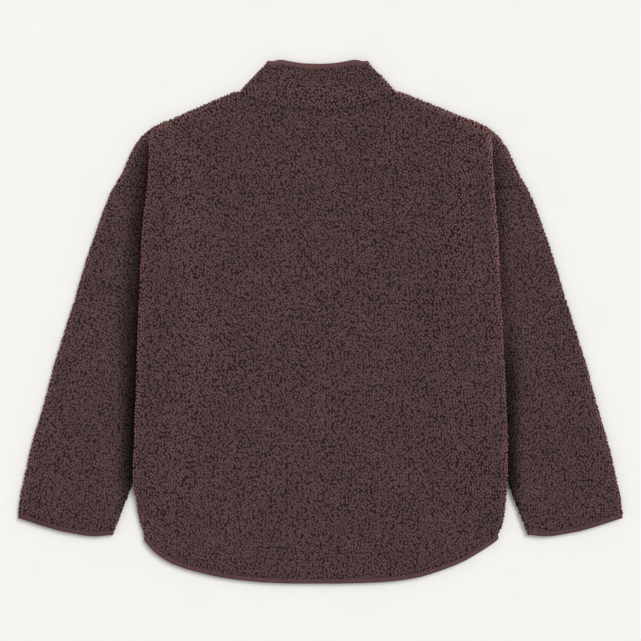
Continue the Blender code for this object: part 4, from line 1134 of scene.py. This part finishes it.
def back_cloth():
    """(stretches, strips over the hem's binding) of the back, with the density of their curls."""
    columns, rows = body_columns(), body_row_stations()
    over, run, drop = columns[columns <= 2], run_columns(), drop_columns()
    below, beside_arm, yoke = rows[rows <= 3], rows[(rows >= 2) & (rows <= 3)], rows[rows >= 3]
    sheets, strips = [], []
    for sign in (-1, 1):
        upper = surface(back_point, sign, over, rows)
        edge, _ = turned_edge(shoulder_edge(sign), WRAP_CELLS, sign)
        sheets += [
            (upper, 1),
            (surface(back_point, sign, run, below), 1 - ease((run - 2) / SEEN_UNDER)),
            (surface(back_point, sign, drop[: PLEAT_CELLS + 2], beside_arm), 0),
            (surface(back_point, sign, run, yoke), 1),
            (surface(back_point, sign, drop, yoke), 1),
            (edge, off_floor(edge)),
        ]
        strips.append((overhang(*upper[:2, over <= HANGS_TO]), 1))
    return sheets, strips


def sleeve_cloth(sign):
    """The same of one sleeve, with curls where it comes out from under the body."""
    rings = sleeve_rings(sign, *sleeve_stations(), SLEEVE_TURN_CELLS)
    y = rings[..., 1]
    past_fold = np.abs(rings[..., 0]) - fold_x(sign, np.clip(y, SIDE_Y, TIP_Y))
    out = np.where(y > SIDE_Y, past_fold + SLEEVE_UNDER, SLEEVE_UNDER)
    free = np.maximum(ease(out / SLEEVE_GROWS), ease((SIDE_Y + SLEEVE_FREE - y) / SLEEVE_FREE_OVER))
    density = free * off_floor(rings)
    return [(rings, density)], [(overhang(rings[-1], rings[-2]), density[-1])]


def collar_cloth():
    points = collar_sheet(COLLAR_STATIONS, WRAP_CELLS)
    density = off_floor(points)
    return [(points, density)], [(overhang(points[-1], points[-2]), density[-1])]


def tucked(edge, inner):
    """The collar's cut edge as its binding follows it: moved in where the pile closes over the binding,
    at both side folds."""
    corner = ease((np.abs(edge[:, 0] - NECK_SHIFT) - CORNER_FROM) / CORNER_OVER)
    return edge - outwards(edge, inner) * (CORNER_TUCK * corner)[:, None]


def front_cloth(name, outline, finishes):
    """A front, which lies flat under the rest with its pile side on the floor."""
    bm = bmesh.new()
    bm.faces.new([bm.verts.new(point * MM) for point in outline])
    bmesh.ops.triangulate(bm, faces=bm.faces)
    if sum(f.normal.z * f.calc_area() for f in bm.faces) > 0:
        bmesh.ops.reverse_faces(bm, faces=bm.faces)
    return walled(new_piece(name, to_mesh(name, bm), finishes), CLOTH, 0.0)


# ---- Painted light and shade of the lying pile ----

# Painted shade in the creases beside the body's side folds, where the fold shades the sleeve's pile. "deep"
# is the share by which the colour is darkened there, and "wide" how far the painted shade goes out from the
# fold.
CREASE_SHADE_COLUMNS = ("y", "deep_left", "wide_left", "deep_right", "wide_right")
CREASE_SHADE = np.array([
    (-240.0, 0.80, 15.0, 0.82, 14.0),
    (-219.0, 0.84, 19.0, 0.86, 16.0),
    (-150.0, 0.87, 20.0, 0.80, 17.0),
    (-80.0, 0.84, 22.0, 0.78, 21.0),
    (-32.0, 0.80, 23.0, 0.50, 20.0),
    (2.0, 0.77, 24.0, 0.25, 18.0),
    (85.0, 0.66, 22.0, 0.36, 13.0),
    (160.0, 0.67, 21.0, 0.48, 13.0),
    (195.0, 0.66, 20.0, 0.42, 17.0),
    (228.0, 0.55, 16.0, 0.32, 13.0),
    (262.0, 0.0, 10.0, 0.0, 10.0),
])
CREASE_SHADE_FROM = {"sleeve": -1.0, "back": 0.6}  # how far out from the fold the dark starts
# Painted shade beside the sleeve's inner edge, below the body:
INNER_SHADE, INNER_WIDE = 0.6, 8.0  # the same beside the sleeve's inner edge, below the body
INNER_FROM, INNER_FROM_OVER = -278.0, 30.0  # height at which that starts, and the length it grows over
INNER_TO, INNER_TO_OVER = 30.0, 20.0  # how far over SIDE_Y it ends, and the length it fades over

PLEAT_TOP = 262.0  # height at which the side folds run out, in the shoulders
FOLD_LOW = 70.0  # how far under SIDE_Y the fold is still followed
# Painted highlight along the back's side folds and shoulders and the sleeves' outer edges:
RIM_SLEEVE, RIM_FOLD, RIM_SHOULDER = 7.0, 6.5, 5.0  # widths of the rims
RIM_OUTSIDE = -0.5  # how far past the fold its rim still counts
RIM_LOW = 60.0  # how far under SIDE_Y it goes

# Painted highlight on the collar's roll and painted shade in its seam: strength, height over the seam, width
NECK_HIGHLIGHT, NECK_LIGHT_AT, NECK_LIGHT_WIDE = 0.2, 11.0, 7.0  # on the collar's roll, over its seam
NECK_SHADE, NECK_DARK_AT, NECK_DARK_WIDE = 0.16, -3.0, 4.0  # under it
NECK_LIGHT_END, NECK_LIGHT_OVER = 4.0, 12.0  # past the side of the neck


def bell(distance, width):
    """1 at no distance, and softly down to nothing a few widths away."""
    return np.exp(-((distance / width) ** 2))


def fold_edge(x, y):
    """Outer edge of the body's side fold at this height, on the side where x is."""
    up = np.clip((y - TIP_Y) / (PLEAT_TOP - TIP_Y), 0, 1)
    yoke_edge = np.where(x < 0, pleat("edge_left", up), pleat("edge_right", up))
    body_edge = fold_x(np.sign(x), np.clip(y, SIDE_Y - FOLD_LOW, TIP_Y)) + CLOTH / 2
    return np.where(y > TIP_Y, yoke_edge, body_edge)


def painted_rim_highlight(name, x, y):
    """1 along the outer edges, where the curls get a painted highlight, lighter and redder, for the light
    that the
    bent pile catches there: the side folds and shoulders of the back, and the outer edges of the sleeves."""
    across = np.abs(x)
    if name.startswith("sleeve"):
        return bell(np.maximum(curve(SIDE_LINE, y) - across, 0), RIM_SLEEVE)
    if name != "back":
        return np.zeros(len(x))
    inside = fold_edge(x, y) - across
    beside = (inside > RIM_OUTSIDE) * (y < PLEAT_TOP) * (y > SIDE_Y - RIM_LOW)
    return np.maximum(bell(inside, RIM_FOLD) * beside, bell(shoulder_y(across) - y, RIM_SHOULDER))


def crease(name, x, y):
    """Painted shade: the share by which the pile's colour is darkened in the creases beside the body's
    folds,
    where shade falls: on the sleeves, and on the back's own dropped shoulders outside the fold."""
    x, y = np.asarray(x, float), np.asarray(y, float)

    def beside_fold(what):
        left, right = (curve(CREASE_SHADE, y, CREASE_SHADE_COLUMNS.index(what + word)) for word in ("_left", "_right"))
        return np.where(x < 0, left, right)

    out = np.abs(x) - fold_edge(x, y)
    lost = beside_fold("deep") * np.exp(-((np.maximum(out, 0) / beside_fold("wide")) ** 3))
    shade = np.where(out > CREASE_SHADE_FROM.get(name.split("_")[0], np.inf), lost, 0)
    if not name.startswith("sleeve"):
        return shade
    # Painted shade along the sleeve's inner edge, below the body
    ends = ease((y - INNER_FROM) / INNER_FROM_OVER) * ease((SIDE_Y + INNER_TO - y) / INNER_TO_OVER)
    return np.maximum(shade, INNER_SHADE * ends * bell(np.abs(x) - curve(SLEEVE_INNER, y), INNER_WIDE))


def painted_collar_light(x, y):
    """Painted light on the pile: a painted highlight on the roll of the collar over its seam, and painted
    shade in the seam.
    """
    across = np.abs(x - NECK_SHIFT)
    over = y - curve(NECK_BACK, across)
    roll = NECK_HIGHLIGHT * bell(over - NECK_LIGHT_AT, NECK_LIGHT_WIDE)
    roll -= NECK_SHADE * bell(over - NECK_DARK_AT, NECK_DARK_WIDE)
    return 1 + roll * ease((NECK_X + NECK_LIGHT_END - across) / NECK_LIGHT_OVER)


# ---- Pile ----

CURL_GAP = 3.35  # least distance between two curls
CURL_TRIES = 0.3  # curls tried on each square millimetre, before that distance counts
CURL_WIDE = 1.8  # half of a curl's width
CURL_HIGH = 1.7  # from the middle of a curl to its tip
CURL_PROUD = 0.15  # how far the tips stand over the solid's face
CURL_SHAPES = 7
CURL_SEED = 11
LOWEST_CURL = 0.1  # curls are pressed flat on the floor
CURL_LIES = 0.62  # share of its height that a curl's middle stays over the floor

# One curl: a ball with few sides, in its own lengths
BALL = {"u_segments": 5, "v_segments": 4, "radius": 1.03}
BALL_LONG, BALL_WIDE = 1.45, 0.92
BALL_LUMPY, BALL_BENT = 0.22, 0.25  # most that a point is moved in or out, and to one side
BALL_TALL = (0.86, 1.1)  # limits of its height
TIP_FOOT, TIP_HIGH = 0.35, 1.3  # "tip" is 0 so far under its middle, and 1 so far over that

# How the curls differ: spread, least and most, round 1
VARIED_WIDE, VARIED_HIGH, VARIED_TONE = (0.07, 0.7, 1.4), (0.12, 0.7, 1.3), (0.05, 0.75, 1.3)
HIGH_GROWS = 0.5  # power of a curl's width that its height follows
UNEVEN, UNEVEN_LESS = 0.22, 0.6  # spread of how far they stand out, and the share of it lost on an edge
SPIN, SPIN_SPREAD = np.pi / 2, 0.5  # turned about themselves, in radians

# What a curl loses in a seam: width, height, and colour as painted shade of the seam's groove; and how far
# it is pressed in
PRESSED_WIDE, PRESSED_HIGH, PRESSED_SHADE, PRESSED_IN = 0.45, 0.3, 0.6, 0.7

# Curls where the cloth turns over an edge: they stand out, and get a painted highlight, lighter and warmer
EDGE_TURNED, EDGE_SOON = 0.7, 0.6  # how far the cloth has turned where that is full, and its power
EDGE_OUT = 0.3
# Strengths of the painted highlights on turned edges and along the outer edges
EDGE_HIGHLIGHT, EDGE_WARM_HIGHLIGHT = 0.3, 0.75
RIM_HIGHLIGHT, RIM_HIGHLIGHT_SLEEVE = 0.2, 0.12
UPPER_RIGHT_FROM, UPPER_RIGHT_OVER, UPPER_RIGHT_HIGHLIGHT = 40.0, 60.0, 0.3  # painted highlight on the upper right, where the lamp's light falls: height it starts at, length it grows over, and its strength

# Half width and depth of each seam and stitching that presses the pile down
NECK_PRESS, ARM_PRESS, LABEL_SIDE_PRESS, LABEL_PRESS = (2.0, 0.55), (1.9, 0.6), (1.5, 0.8), (1.2, 0.35)
NECK_STATIONS = 60
ARM_IN, ARM_OUT = 6.0, 0.2  # how far the armhole's line goes on, inwards in mm and outwards as a share
LABEL = (-23.9, -0.4, 240.8, 267.0)  # stitching that holds a label inside the neck: x and y limits


def curl_shape(number, random):
    """One curl: a blunt lump of loops, longer than wide and bent over to one side. "tip" goes from 0
    at its foot to 1 at its top."""
    bm = bmesh.new()
    tip = bm.verts.layers.float.new("tip")
    bmesh.ops.create_uvsphere(bm, **BALL)
    for vert in bm.verts:
        x, y, z = vert.co
        lump = 1 + random.uniform(-BALL_LUMPY, BALL_LUMPY)
        bend = random.uniform(-BALL_BENT, BALL_BENT)
        vert[tip] = np.clip((z + TIP_FOOT) / TIP_HIGH, 0, 1)
        sideways = y * BALL_WIDE * lump + bend * x * x
        vert.co = (x * BALL_LONG * lump, sideways, z * random.uniform(*BALL_TALL))
    return new_piece(f"curl_{number}", to_mesh(f"curl_{number}", bm), ())


def geometry_group(name):
    """An empty geometry node group: (tree, the geometry that comes in, the output node)."""
    tree = bpy.data.node_groups.new(name, "GeometryNodeTree")
    for way in ("INPUT", "OUTPUT"):
        tree.interface.new_socket("Geometry", in_out=way, socket_type="NodeSocketGeometry")
    return tree, add(tree, "NodeGroupInput").outputs[0], add(tree, "NodeGroupOutput")


def scatter_group():
    """Points on a bed, no two nearer than a curl's width, with the direction out of the cloth."""
    tree, bed, out = geometry_group("scatter_curls")
    normal = add(tree, "GeometryNodeInputNormal").outputs[0]
    raised = add(tree, "ShaderNodeVectorMath", {"operation": "SCALE"}, {
        0: normal, "Scale": (CLOTH / 2 + CURL_PROUD - CURL_HIGH) * MM,
    })
    face = add(tree, "GeometryNodeSetPosition", inputs={"Geometry": bed, "Offset": raised.outputs[0]})
    density = add(tree, "GeometryNodeInputNamedAttribute", {"data_type": "FLOAT"}, {"Name": "pile"})
    spread = add(tree, "GeometryNodeDistributePointsOnFaces", {"distribute_method": "POISSON"}, {
        "Mesh": face.outputs[0], "Distance Min": CURL_GAP * MM, "Density Max": CURL_TRIES / MM**2,
        "Density Factor": density.outputs[0], "Seed": CURL_SEED,
    })
    facing = add(tree, "GeometryNodeStoreNamedAttribute", {"data_type": "FLOAT_VECTOR", "domain": "POINT"}, {
        "Geometry": spread.outputs["Points"], "Name": "facing", "Value": spread.outputs["Normal"],
    })
    verts = add(tree, "GeometryNodePointsToVertices", inputs={0: facing.outputs[0]})
    tree.links.new(verts.outputs[0], out.inputs[0])
    return tree


def curl_group(shapes):
    """A curl on each point, turned out of the cloth and about itself, all joined into one mesh."""
    tree, roots, out = geometry_group("set_curls")
    kinds = {"facing": "FLOAT_VECTOR", "spin": "FLOAT", "kind": "INT", "size": "FLOAT_VECTOR"}
    carried = {
        name: add(tree, "GeometryNodeInputNamedAttribute", {"data_type": kind}, {"Name": name}).outputs[0]
        for name, kind in kinds.items()
    }
    turned = add(tree, "FunctionNodeAlignRotationToVector", {"axis": "Z"}, {"Vector": carried["facing"]})
    spin = add(tree, "ShaderNodeCombineXYZ", inputs={"Z": carried["spin"]})
    turned = add(tree, "FunctionNodeRotateRotation", {"rotation_space": "LOCAL"}, {
        0: turned.outputs[0], 1: spin.outputs[0],
    })
    curls = add(tree, "GeometryNodeCollectionInfo", inputs={
        "Collection": shapes, "Separate Children": True, "Reset Children": True,
    })
    placed_curls = add(tree, "GeometryNodeInstanceOnPoints", inputs={
        "Points": roots, "Instance": curls.outputs[0], "Pick Instance": True,
        "Instance Index": carried["kind"], "Rotation": turned.outputs[0], "Scale": carried["size"],
    })
    joined = add(tree, "GeometryNodeRealizeInstances", inputs={0: placed_curls.outputs[0]})
    tree.links.new(joined.outputs[0], out.inputs[0])
    return tree


def vectors(mesh, name):
    """A vector of each vertex, as an array."""
    values = np.empty(len(mesh.vertices) * 3, np.float32)
    mesh.attributes[name].data.foreach_get("vector", values)
    return values.reshape(-1, 3)


def distance_to(line, points):
    """Distance in plan from each point to a line of straight stretches."""
    best = np.full(len(points), np.inf)
    for a, b in zip(line[:-1], line[1:]):
        t = np.clip(((points - a) @ (b - a)) / ((b - a) @ (b - a)), 0, 1)
        best = np.minimum(best, np.linalg.norm(points - a - t[:, None] * (b - a), axis=1))
    return best


def seam_lines():
    """(line in plan, (half width, depth)) of each seam and stitching that presses the pile down."""
    x = np.linspace(-NECK_X, NECK_X, NECK_STATIONS)
    tip, _ = armhole_tip()
    inner = np.array([side("run_end", TIP_Y) - ARM_IN, TIP_Y])
    arm = np.array([tip + (tip - inner) * ARM_OUT, inner])
    left, right, low, high = LABEL
    corners = np.array([[left, low], [right, low], [right, high], [left, high]])
    return [
        (placed(x, curve(NECK_BACK, np.abs(x)), 0)[:, :2], NECK_PRESS),
        (arm * [-1, 1], ARM_PRESS),
        (arm, ARM_PRESS),
        (corners[[0, 3]], LABEL_SIDE_PRESS),
        (corners, LABEL_PRESS),
    ]


def curl_values(name, points, facing, seams):
    """(places, values) of the curls: how each is turned, its size, its tone with its painted light and
    shade, and its shape's number.
    """
    count = len(points)
    random = np.random.default_rng(CURL_SEED + count)

    def varied(spread, least, most):
        return random.normal(1.0, spread, count).clip(least, most)

    pressed = np.zeros(count)
    for line, (half_width, depth) in seams:
        pressed = np.maximum(pressed, depth * bell(distance_to(line, points[:, :2]), half_width))
    edge = np.clip((1 - facing[:, 2]) / EDGE_TURNED, 0, 1) ** EDGE_SOON
    grow = varied(*VARIED_WIDE) * (1 - PRESSED_WIDE * pressed)
    size = np.stack([CURL_WIDE * grow, CURL_WIDE * grow, CURL_HIGH * grow**HIGH_GROWS], axis=1)
    size[:, 2] *= varied(*VARIED_HIGH) * (1 - PRESSED_HIGH * pressed)
    uneven = random.normal(0, UNEVEN, count) * (1 - UNEVEN_LESS * edge)
    points = points + facing * (uneven - PRESSED_IN * pressed + EDGE_OUT * edge)[:, None]
    points[:, 2] = np.maximum(points[:, 2], size[:, 2] * CURL_LIES)
    x, y, _ = points.T
    # Each curl's own tone, which differs at random, darkened in seams as painted shade of the groove
    tint = varied(*VARIED_TONE) * (1 - PRESSED_SHADE * pressed**2)
    # Painted highlight on the collar's roll and painted shade in the neck seam
    tint *= painted_collar_light(x, y)
    # Painted shade in the creases beside the body's side folds
    tint *= 1 - crease(name, x, y)
    # Painted highlight on the upper right, where the lamp's light falls on the turned edges and outer edges
    lit_upper_right = (x > 0) * ease((y - UPPER_RIGHT_FROM) / UPPER_RIGHT_OVER)
    # 1 along the outer edges, which get a painted highlight
    outer = painted_rim_highlight(name, x, y)
    # Painted highlights: on the sleeves' outer edges, and on the back's turned edges and outer edges
    if name.startswith("sleeve"):
        tint *= 1 + RIM_HIGHLIGHT_SLEEVE * outer
    else:
        tint *= 1 + (EDGE_HIGHLIGHT + UPPER_RIGHT_HIGHLIGHT * lit_upper_right) * edge * (facing[:, 2] > 0)
        tint *= 1 + RIM_HIGHLIGHT * lit_upper_right * outer
    return points, {
        "facing": ("FLOAT_VECTOR", facing),
        "size": ("FLOAT_VECTOR", size * MM),
        "spin": ("FLOAT", random.normal(SPIN, SPIN_SPREAD, count)),
        "tint": ("FLOAT", tint),
        # Share of the redder, lighter painted highlight on turned edges and outer edges
        "warm": ("FLOAT", EDGE_WARM_HIGHLIGHT * np.maximum(edge, outer)),
        "kind": ("INT", random.integers(0, CURL_SHAPES, count)),
    }


def pile(name, bed, pieces, scatter, setter, seams, finish):
    """The curls on a bed, as one or more joined meshes."""
    bed.modifiers.new("scatter", "NODES").node_group = scatter
    settle(bed)
    points, facing = vectors(bed.data, "position") / MM, vectors(bed.data, "facing")
    bpy.data.objects.remove(bed)
    points, values = curl_values(name, points, facing, seams)
    made = []
    for piece, chosen in zip(pieces, np.array_split(np.argsort(-points[:, 1]), len(pieces))):
        bm = bmesh.new()
        for point in points[chosen]:
            bm.verts.new(point * MM)
        roots = to_mesh(piece, bm)
        for key, (kind, numbers) in values.items():
            field = "vector" if kind == "FLOAT_VECTOR" else "value"
            flat = numbers[chosen].astype(np.int32 if kind == "INT" else np.float32).ravel()
            roots.attributes.new(key, kind, "POINT").data.foreach_set(field, flat)
        curls = new_piece(piece, roots, ())
        curls.modifiers.new("curls", "NODES").node_group = setter
        settle(curls)
        mesh = curls.data
        flat = vectors(mesh, "position")
        flat[:, 2] = np.maximum(flat[:, 2], LOWEST_CURL * MM)
        mesh.vertices.foreach_set("co", flat.ravel())
        mesh.materials.clear()
        mesh.materials.append(finish)
        mesh.shade_smooth()
        for spare in ("facing", "size", "spin", "kind"):
            if spare in mesh.attributes:
                mesh.attributes.remove(mesh.attributes[spare])
        made.append(curls)
    return made


# ---- Bindings and sewing ----

TAPE_SIDES = 14
TAPE_STEP = 3.0  # between its rings
TAPE_WIDE_POWER, TAPE_HIGH_POWER = 0.55, 0.62  # they flatten its section, which 1 and 1 leave round
TAPE_PUCKER = 0.22  # how far the band swells between its stitches
PUCKER_STEP, PUCKER_DRIFT, PUCKER_DRIFT_STEP = 7.3, 1.3, 31.0  # from one swelling to the next, uneven
TAPE_SEAM = 2.6  # row of stitches, in from the band's inner edge
GROOVE_DEEP, GROOVE_WIDE = 0.45, 0.7  # that the stitches pull in
COLLAR_RISE = 0.9  # how much wider the collar's band looks than its solid
TAPE_MEETS = 0.1  # between the band and the cloth's cut edge, under the curls
STITCH = 3.2  # length of one stitch with its gap
STITCH_LONG, STITCH_THICK = 2.4, 0.34
STITCH_BALL = {"u_segments": 6, "v_segments": 3, "radius": 1}
STITCH_SUNK = 0.18  # how far its middle lies under the band's face
WORN = {"collar": 1.0, "hem": 0.4, "cuff": 0.0}  # how far each band is rubbed and faded


def tape_frame(edge, inner, closed):
    """(out, up) directions at each station of a bound edge, square to its way."""
    if closed:
        along = np.roll(edge, -1, axis=0) - np.roll(edge, 1, axis=0)
    else:
        along = np.gradient(edge, axis=0)
    along /= np.linalg.norm(along, axis=1, keepdims=True)
    out = edge - inner
    for turn in range((CUFF_EASED if closed else TAPE_EASED) + 1):
        if turn:
            before, after = (np.roll(out, shift, axis=0) for shift in (1, -1))
            if not closed:
                before[0], after[-1] = out[0], out[-1]
            out = (before + 2 * out + after) / 4
        out -= (out * along).sum(1, keepdims=True) * along
        out /= np.linalg.norm(out, axis=1, keepdims=True)
    return out, np.cross(along, out)


def way_along(line):
    """Distance along a line to each of its points."""
    return np.concatenate([[0], np.cumsum(np.linalg.norm(np.diff(line, axis=0), axis=1))])


def evenly(points, step, closed=False):
    """The line's points again, this far apart along it."""
    line = np.concatenate([points, points[:1]]) if closed else points
    length = way_along(line)
    count = max(int(round(length[-1] / step)), 2)
    at = np.linspace(0, length[-1], count + 1)
    if closed:
        at = at[:-1]
    return np.stack([np.interp(at, length, line[:, k]) for k in range(line.shape[1])], axis=1)


def tape(name, edge, inner, closed, finish, thread, reach=TAPE_GAP):
    """A binding and the row of stitches that holds it, along a cut edge. reach is how far it stands out
    from there."""
    both = evenly(np.concatenate([edge, inner], axis=1), TAPE_STEP, closed)
    edge, inner = both[:, :3], both[:, 3:]
    out, up = tape_frame(edge, inner, closed)
    half_width, half_thick = (reach - TAPE_MEETS) / 2, TAPE_THICK / 2
    way = way_along(edge)
    drift = PUCKER_DRIFT * np.sin(way / PUCKER_DRIFT_STEP)
    pucker = 1 + TAPE_PUCKER / half_thick * np.sin(way * 2 * np.pi / PUCKER_STEP + drift)
    rings = []
    for angle in np.linspace(0, 2 * np.pi, TAPE_SIDES, endpoint=False):
        a, b = np.cos(angle), np.sin(angle)
        over = half_width * np.sign(a) * abs(a) ** TAPE_WIDE_POWER
        high = half_thick * np.sign(b) * abs(b) ** TAPE_HIGH_POWER
        groove = GROOVE_DEEP * bell(over + half_width - TAPE_SEAM, GROOVE_WIDE) * np.sign(b)
        rings.append(edge + out * (TAPE_MEETS + half_width + over) + up * (high * pucker - groove)[:, None])
    around = np.array(rings + rings[:1])
    around[..., 2] = np.maximum(around[..., 2], FLOOR_CLEAR)
    if closed:
        around = np.concatenate([around, around[:, :1]], axis=1)
        way = np.append(way, way[-1] + TAPE_STEP)
    bm = bmesh.new()
    along, worn = (bm.verts.layers.float.new(key) for key in ("along", "worn"))
    for vert, at in zip(lay_grid(bm, around), np.tile(way, len(around))):
        vert[along], vert[worn] = at, WORN[name.split("_")[0]]
    bmesh.ops.remove_doubles(bm, verts=bm.verts, dist=WELD * MM)
    if not closed:
        ends = [e for e in bm.edges if e.is_boundary]
        bmesh.ops.holes_fill(bm, edges=ends, sides=TAPE_SIDES)
    bmesh.ops.recalc_face_normals(bm, faces=bm.faces)
    band = new_piece(name, to_mesh(name, bm), [finish])
    row = edge + out * (TAPE_MEETS + TAPE_SEAM) + up * (half_thick - STITCH_SUNK)
    return band, stitches(name.replace("binding", "stitches"), row, closed, thread)


def stitches(name, row, closed, thread):
    """A row of single stitches: short bars of thread, rounded at both ends."""
    step = evenly(row, STITCH, closed)
    ahead = np.roll(step, -1, axis=0) - step
    if not closed:
        ahead[-1] = ahead[-2]
    ahead /= np.linalg.norm(ahead, axis=1, keepdims=True)
    bm = bmesh.new()
    for point, way in zip(step, ahead):
        turn = Vector(way).to_track_quat("X", "Z")
        for vert in bmesh.ops.create_uvsphere(bm, **STITCH_BALL)["verts"]:
            x, y, z = vert.co
            bar = Vector((z * STITCH_LONG / 2, x * STITCH_THICK, y * STITCH_THICK))
            vert.co = (Vector(point) + turn @ bar) * MM
            vert.co.z = max(vert.co.z, FLOOR_CLEAR * MM)
    bmesh.ops.recalc_face_normals(bm, faces=bm.faces)
    return new_piece(name, to_mesh(name, bm), [thread])


def hem_edge(outlines):
    """(cut edge, points just inside it) of the whole hem, from one front edge round the back to the
    other. Where two panels meet, the point between them counts."""
    columns, rows = body_columns(), body_row_stations()[[0, 2]]
    edge, inner = [], []
    for sign in (-1, 1):
        front = outlines[sign][: FRONT_HEM_CELLS + 1]
        back = surface(back_point, sign, columns, rows)[:, ::-1]
        seam = mix(front[-1:], back[0, :1], 0.5)
        edge.append(np.concatenate([front[:-1], seam, back[0, 1:]]))
        inner.append(np.concatenate([front[:-1] + INWARDS, seam + INWARDS, back[1, 1:]]))
    return [np.concatenate([half[0], half[1][::-1][1:]]) for half in (edge, inner)]


# ---- Zip ----

TOOTH_STEP = 1.6  # between two teeth of one side
TOOTH_OUT = 1.05  # from the middle of the chain to the middle of a tooth
TOOTH_SIZE = (3.0, 0.7037, 1.9)  # across the chain, along it and up
CHAIN_END = 1.0  # left free at both ends


def zip_teeth(finish):
    """Moulded teeth of the closed chain, one side's between the other's."""
    low, high = (np.array(corner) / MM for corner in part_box("zip_chain"))
    bm = bmesh.new()
    for number, y in enumerate(np.arange(low[1] + CHAIN_END, high[1] - CHAIN_END, TOOTH_STEP / 2)):
        sign = 1 if number % 2 else -1
        centre = placed(sign * TOOTH_OUT, y, (low[2] + high[2]) / 2)
        made = bmesh.ops.create_cube(bm, size=1)["verts"]
        bmesh.ops.scale(bm, verts=made, vec=Vector(TOOTH_SIZE) * MM)
        bmesh.ops.translate(bm, verts=made, vec=Vector(centre) * MM)
    return new_piece("zip_teeth", to_mesh("zip_teeth", bm), [finish])


# ---- Studio ----

VIEW_MM = 884.6  # width of the photo, from its scale of 1.38 mm to a pixel
VIEW_X, VIEW_Y = 0.28, 1.38  # middle of the view
VIEW_Z = 6.0  # height at which the view is that wide
SENSOR, LENS = 36.0, 90.0
LAMPS = {
    # name: place, angle that it fills in radians, power
    "key": ((0.9, 0.9, 2.0), 0.5, 1.93),
    "fill": ((-1.2, -0.6, 2.4), 0.8, 0.35),
}
SKY = 0.43
FLOOR_WIDE = 40.0  # metres
FLOOR_UNDER = 0.2  # how far the floor lies under the cloth


def studio():
    """Two lamps far off, so that their light is even over the floor, a plain sky, the floor and the
    camera, straight over the jacket."""
    scene = bpy.context.scene
    scene.view_settings.view_transform = "Standard"
    for name, (place, soft, power) in LAMPS.items():
        light = bpy.data.lights.new(name, "SUN")
        light.angle, light.energy = soft, power
        lamp = bpy.data.objects.new(name, light)
        lamp.location = place
        lamp.rotation_euler = (-Vector(place)).to_track_quat("-Z", "Y").to_euler()
        scene.collection.objects.link(lamp)
    world = bpy.data.worlds.new("studio")
    world.use_nodes = True
    sky = world.node_tree.nodes["Background"]
    sky.inputs["Color"].default_value = (1, 1, 1, 1)
    sky.inputs["Strength"].default_value = SKY
    scene.world = world
    bm = bmesh.new()
    bmesh.ops.create_grid(bm, x_segments=1, y_segments=1, size=FLOOR_WIDE / 2)
    bmesh.ops.translate(bm, verts=bm.verts, vec=(0, 0, -FLOOR_UNDER * MM))
    new_piece("floor", to_mesh("floor", bm), [pale_paper()])
    camera = bpy.data.objects.new("camera", bpy.data.cameras.new("camera"))
    camera.data.lens, camera.data.sensor_width = LENS, SENSOR
    camera.location = (VIEW_X * MM, VIEW_Y * MM, (VIEW_Z + VIEW_MM * LENS / SENSOR) * MM)
    scene.collection.objects.link(camera)
    scene.camera = camera


# ---- The jacket ----


def dress():
    """All looks, made and named for the frame."""
    curled, ground, backing = sherpa_curls(), sherpa_ground(), knit_backing()
    bound, thread = binding_knit(), sewing_thread()
    random = np.random.default_rng(CURL_SEED)
    shapes = bpy.data.collections.new("curl_shapes")
    for number in range(CURL_SHAPES):
        curl = curl_shape(number, random)
        bpy.context.scene.collection.objects.unlink(curl)
        shapes.objects.link(curl)
    bpy.context.scene.collection.children.link(shapes)
    scatter, setter = scatter_group(), curl_group(shapes)
    seams = seam_lines()

    def done(piece, slot, *nodes):
        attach(piece, "root")
        if nodes:
            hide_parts(*nodes)

    def panel(name, sheets, pile_names):
        shell, bed = cloth(name + "_cloth", *sheets, [ground, backing])
        curls = pile(name, bed, pile_names, scatter, setter, seams, curled)
        done(shell, "sherpa", name)
        for piece in curls:
            done(piece, "sherpa")

    def bind(node, edge, inner, closed=False, reach=TAPE_GAP):
        band, seam = tape(node + "_band", edge, inner, closed, bound, thread, reach)
        done(band, "binding", node)
        done(seam, "binding")

    back_piles = ["back_pile_yoke", "back_pile_middle", "back_pile_hem"]
    panel("back", back_cloth(), back_piles)
    panel("collar", collar_cloth(), ["collar_pile"])
    outlines = {}
    for sign, word in ((-1, "left"), (1, "right")):
        panel("sleeve_" + word, sleeve_cloth(sign), ["sleeve_pile_" + word])
        outlines[sign] = front_outline(sign)
        front = front_cloth(f"front_{word}_cloth", outlines[sign], [ground, backing])
        done(front, "sherpa", "front_" + word)
        rings = sleeve_rings(sign, *sleeve_stations(), WRAP_CELLS)
        bind("cuff_binding_" + word, rings[-1, :-1], rings[-3, :-1], closed=True)
    collar = collar_sheet(COLLAR_STATIONS, WRAP_CELLS)
    cut = tucked(collar[-1], collar[-2])
    bind("collar_binding", cut, cut + collar[-2] - collar[-1], reach=TAPE_GAP + COLLAR_RISE)
    bind("hem_binding", *hem_edge(outlines))
    done(zip_teeth(zip_plastic()), "zip_metal", "zip_chain")
    looks = {"zip_tape_left": zip_weave(), "zip_puller": binding_knit(), "zip_slider": zip_enamel()}
    looks["zip_tape_right"] = looks["zip_tape_left"]
    for node, look in looks.items():
        mesh = frame["nodes"][node].data
        mesh.materials.clear()
        mesh.materials.append(look)
    for curl in list(shapes.objects):
        bpy.data.objects.remove(curl)
    bpy.data.collections.remove(shapes)


dress()
studio()
